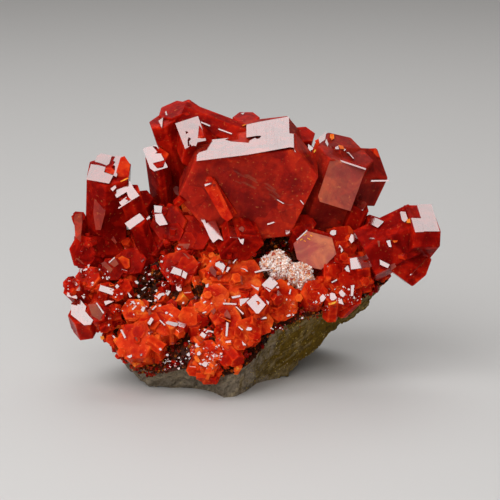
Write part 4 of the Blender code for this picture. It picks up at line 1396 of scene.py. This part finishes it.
# Painted sheen: the pinkish colours that a face's sheen value mixes in
PAINTED_SHEEN_COLOURS = ((0.40, (0.42, 0.13, 0.11)), (0.60, (0.60, 0.26, 0.14)))
# Painted sparkle: the colour of tiny bright specks in the crystals
PAINTED_SPARKLE_COLOUR = (1.0, 0.40, 0.11)
# Painted shade: the dark colour mixed into the faces that mirror a softbox
MIRROR_FACE_SHADE_COLOUR = (0.03, 0.004, 0.003)
DRUSE_COLOURS = ((0.0, (0.012, 0.003, 0.001)), (0.3, (0.060, 0.010, 0.003)), (0.65, (0.26, 0.040, 0.005)),
                 (1.0, (0.50, 0.18, 0.015)))
GOLD_COLOURS = ((0.35, (0.20, 0.11, 0.010)), (0.65, (0.55, 0.40, 0.10)))
PATCH_COLOURS = ((0.15, (0.50, 0.07, 0.03)), (0.3, (0.75, 0.30, 0.12)), (0.45, (0.85, 0.58, 0.46)),
                 (0.7, (0.95, 0.88, 0.84)))
ROCK_COLOURS = ((0.25, (0.18, 0.145, 0.105)), (0.42, (0.29, 0.23, 0.165)), (0.60, (0.115, 0.066, 0.005)))
PALE_STREAKS = (0.36, 0.28, 0.16)
DARK_STREAKS = (0.05, 0.03, 0.008)
SPECKLES = (0.025, 0.016, 0.007)


def crystal_material(name, index, roughest, depth):
    """Vanadinite: deep red to orange, clouded and veined, with lines along its growth, a painted sheen,
    painted edge glow at the rims and painted sparkle specks. The higher `depth` is, the darker its colour
    is painted, for the faces that mirror a softbox."""
    shading = Shading(name)
    tone, glow_rim, painted_sheen = shading.look()
    place = shading.place()
    growth = shading.node("ShaderNodeUVMap", {}, uv_map="growth").outputs["UV"]
    clouds = shading.noise(place, scale=210.0, detail=6.0, roughness=0.62, distortion=0.8)
    veins = shading.noise(shading.stretched(place, (500.0, 900.0, 180.0)), detail=5.0, distortion=0.5)
    fine = shading.noise(place, scale=1100.0)
    cells = shading.cells(shading.stretched(place, (420.0, 700.0, 300.0)))
    # The rim term paints the edges of faces lighter: a painted edge highlight and glow
    share = shading.weighted(-0.60, (tone, 0.60), (clouds, 0.80), (veins, 0.22), (fine, 0.30), (cells, 0.14),
                             (glow_rim, 0.11))
    colour = shading.ramp(share, *CRYSTAL_COLOURS)
    # Painted sheen: the colour turns pinkish where the look's third value is high
    colour = shading.mix(shading.weighted(0.0, (painted_sheen, 0.75)), colour, shading.ramp(clouds, *PAINTED_SHEEN_COLOURS))
    # Painted sparkle: tiny bright specks mixed into the colour, stronger on orange crystals
    spots = shading.noise(place, scale=1900.0, detail=2.0, roughness=0.5)
    painted_sparkles = shading.mask(spots, (0.65, 0.0), (0.74, 1.0))
    golden = shading.weighted(0.0, (painted_sparkles, shading.weighted(0.08, (tone, 0.30))))
    colour = shading.mix(golden, colour, PAINTED_SPARKLE_COLOUR)
    # Painted shade: the higher `depth` is, the darker the colour, so that mirrored softbox light reads white
    colour = shading.mix(depth, colour, MIRROR_FACE_SHADE_COLOUR)
    scratches = shading.noise(place, scale=2600.0, detail=3.0)
    lines = shading.noise(shading.stretched(growth, (9.0, 0.35, 1.0)), detail=3.0)
    worn = shading.mask(lines, (0.52, 0.0), (0.66, 1.0))
    roughness = shading.weighted(roughest * 0.4, (scratches, roughest), (worn, depth * 0.4))
    lumps = shading.noise(place, scale=420.0, detail=3.0, roughness=0.5)
    shading.bump(shading.weighted(lumps, (lines, 0.35)), distance=0.00012, strength=3.0 * roughest)
    return shading.finish(Base_Color=colour, Roughness=roughness, IOR=index, Subsurface_Weight=0.28,
                          Subsurface_Radius=(1.0, 0.16, 0.05), Subsurface_Scale=0.0025)


def druse_material(name, index, roughness):
    shading = Shading(name)
    place = shading.place()
    tone, _, _ = shading.look()
    share = shading.weighted(-0.35, (tone, 1.0), (shading.noise(place, scale=330.0), 0.7))
    shading.bump(shading.noise(place, scale=1500.0, detail=3.0), distance=0.0001, strength=0.4)
    return shading.finish(Base_Color=shading.ramp(share, *DRUSE_COLOURS), Roughness=roughness, IOR=index)


def gold_material():
    """The yellow grains on the rock."""
    shading = Shading("golden_grains")
    colour = shading.ramp(shading.noise(shading.place(), scale=900.0), *GOLD_COLOURS)
    return shading.finish(Base_Color=colour, Roughness=0.2)


def rock_material():
    """Grey, darker on the left and paler further right, then olive on the right, with slanting
    streaks and dark speckles.
    """
    shading = Shading("matrix_rock")
    place = shading.place()
    clouds = shading.noise(place, scale=160.0, detail=6.0, distortion=0.4)
    fine = shading.noise(place, scale=1300.0, detail=5.0, roughness=0.7)
    across = shading.node("ShaderNodeSeparateXYZ", {"Vector": place}).outputs["X"]
    colour = shading.ramp(shading.weighted(-0.75, (across, 48.0), (clouds, 2.0)), *ROCK_COLOURS)
    slanting = {"Vector": place, "Rotation": (0.0, 0.96, 0.0), "Scale": (0.0014, 0.0025, 0.012)}
    along_streaks = shading.node("ShaderNodeMapping", slanting, vector_type="TEXTURE").outputs["Vector"]
    streaks = shading.noise(along_streaks, detail=5.0, roughness=0.65, distortion=0.6)
    colour = shading.mix(shading.mask(streaks, (0.48, 0.0), (0.66, 0.55)), colour, PALE_STREAKS)
    colour = shading.mix(shading.mask(streaks, (0.34, 0.45), (0.46, 0.0)), colour, DARK_STREAKS)
    colour = shading.mix(shading.mask(fine, (0.34, 0.35), (0.54, 1.0)), SPECKLES, colour)
    shading.bump(shading.weighted(clouds, (fine, 0.6), (streaks, 0.8)), distance=0.0005, strength=0.7)
    return shading.finish(Base_Color=colour, Roughness=0.75, IOR=1.15)


def patch_material():
    """The crumbly patch: pink to cream."""
    shading = Shading("pale_crust")
    place = shading.place()
    clouds = shading.noise(place, scale=700.0, detail=5.0, roughness=0.65, distortion=0.4)
    tone, _, _ = shading.look()
    share = shading.weighted(-0.36, (tone, 0.85), (clouds, 0.9))
    shading.bump(shading.noise(place, scale=1600.0, roughness=0.7), distance=0.0003, strength=0.8)
    return shading.finish(Base_Color=shading.ramp(share, *PATCH_COLOURS), Roughness=0.3)


# The pieces and the stage

def dress(piece, slot, materials, node=None):
    """Gives a piece its materials, hangs it on the root, and hides the CAD part that it takes the place of.
    """
    for material in materials:
        piece.data.materials.append(material)
    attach(piece, "root")
    if node:
        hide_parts(node)


def make_camera():
    data = bpy.data.cameras.new("camera")
    data.lens = CAMERA_LENS
    data.sensor_width = SENSOR
    data.clip_start, data.clip_end = (reach * MM for reach in CAMERA_REACH)
    camera = link_object("camera", data)
    camera.location = CAMERA_PLACE * MM
    camera.rotation_euler = (-TO_CAMERA).to_track_quat("-Z", "Y").to_euler()
    bpy.context.scene.camera = camera


def make_floor():
    half = FLOOR_HALF * MM
    mesh = bpy.data.meshes.new("floor")
    corners = [(-half, -half, 0), (half, -half, 0), (half, half, 0), (-half, half, 0)]
    mesh.from_pydata(corners, [], [(0, 1, 2, 3)])
    mesh.materials.append(Shading("floor").finish(Base_Color=FLOOR_COLOUR, Roughness=FLOOR_ROUGHNESS))
    link_object("floor", mesh)


def make_softbox(softbox):
    data = bpy.data.lights.new(softbox.name, "AREA")
    data.shape = "RECTANGLE"
    data.size = softbox.width * MM
    data.size_y = softbox.height * MM
    data.energy = softbox.power
    light = link_object(softbox.name, data)
    light.location = middle_of(softbox) * MM
    light.rotation_euler = direction(softbox.azimuth, softbox.elevation).to_track_quat("Z", "Y").to_euler()
    light.visible_camera = False


def make_world():
    world = bpy.data.worlds.new("studio")
    world.use_nodes = True
    background = world.node_tree.nodes["Background"]
    background.inputs["Color"].default_value = WORLD_COLOUR
    background.inputs["Strength"].default_value = WORLD_STRENGTH
    bpy.context.scene.world = world


def main():
    make_camera()
    make_world()
    make_floor()
    for softbox in (BACK_SOFTBOX, TOP_SOFTBOX, FRONT_SOFTBOX, LEFT_SOFTBOX):
        make_softbox(softbox)
    bpy.context.scene.view_settings.view_transform = "Standard"

    dull = crystal_material("vanadinite", index=1.07, roughest=0.12, depth=0.0)
    # The faces that mirror a softbox take this copy, whose colour is painted darker
    polished = crystal_material("vanadinite_polished", index=2.8, roughest=0.03, depth=0.4)
    piles = {group.node: grow_group(group) for group in GROUPS}
    rock = make_rock()
    grains, loose = grow_druse(rock)
    patch = grow_patch()
    parts = [(node, pile.corners, pile.faces) for node, pile in piles.items()]
    parts += [("druse_crystals", pile.corners, pile.faces) for pile in (grains, loose, patch)]
    surface = Surface(parts + [cad_part("matrix_rock")])
    add_faces(piles, loose, surface)
    add_glints(loose, surface)
    add_rock_sparks(grains, rock)

    for group in GROUPS:
        name = group.node.replace("_group", "") + "_detail"
        dress(piles[group.node].make(name), group.slot, [dull, polished], group.node)
    dress(loose.make("druse_crystals"), "orange_red_crystal", [dull, polished])
    druse = [druse_material("druse", index=1.15, roughness=0.35),
             druse_material("druse_sparkle", index=2.2, roughness=0.12), gold_material()]
    dress(grains.make("druse_detail"), "druse", druse, "druse_crust")
    dress(patch.make("pale_crust_detail"), "pale_crust", [patch_material()], "pale_crust_patch")


main()
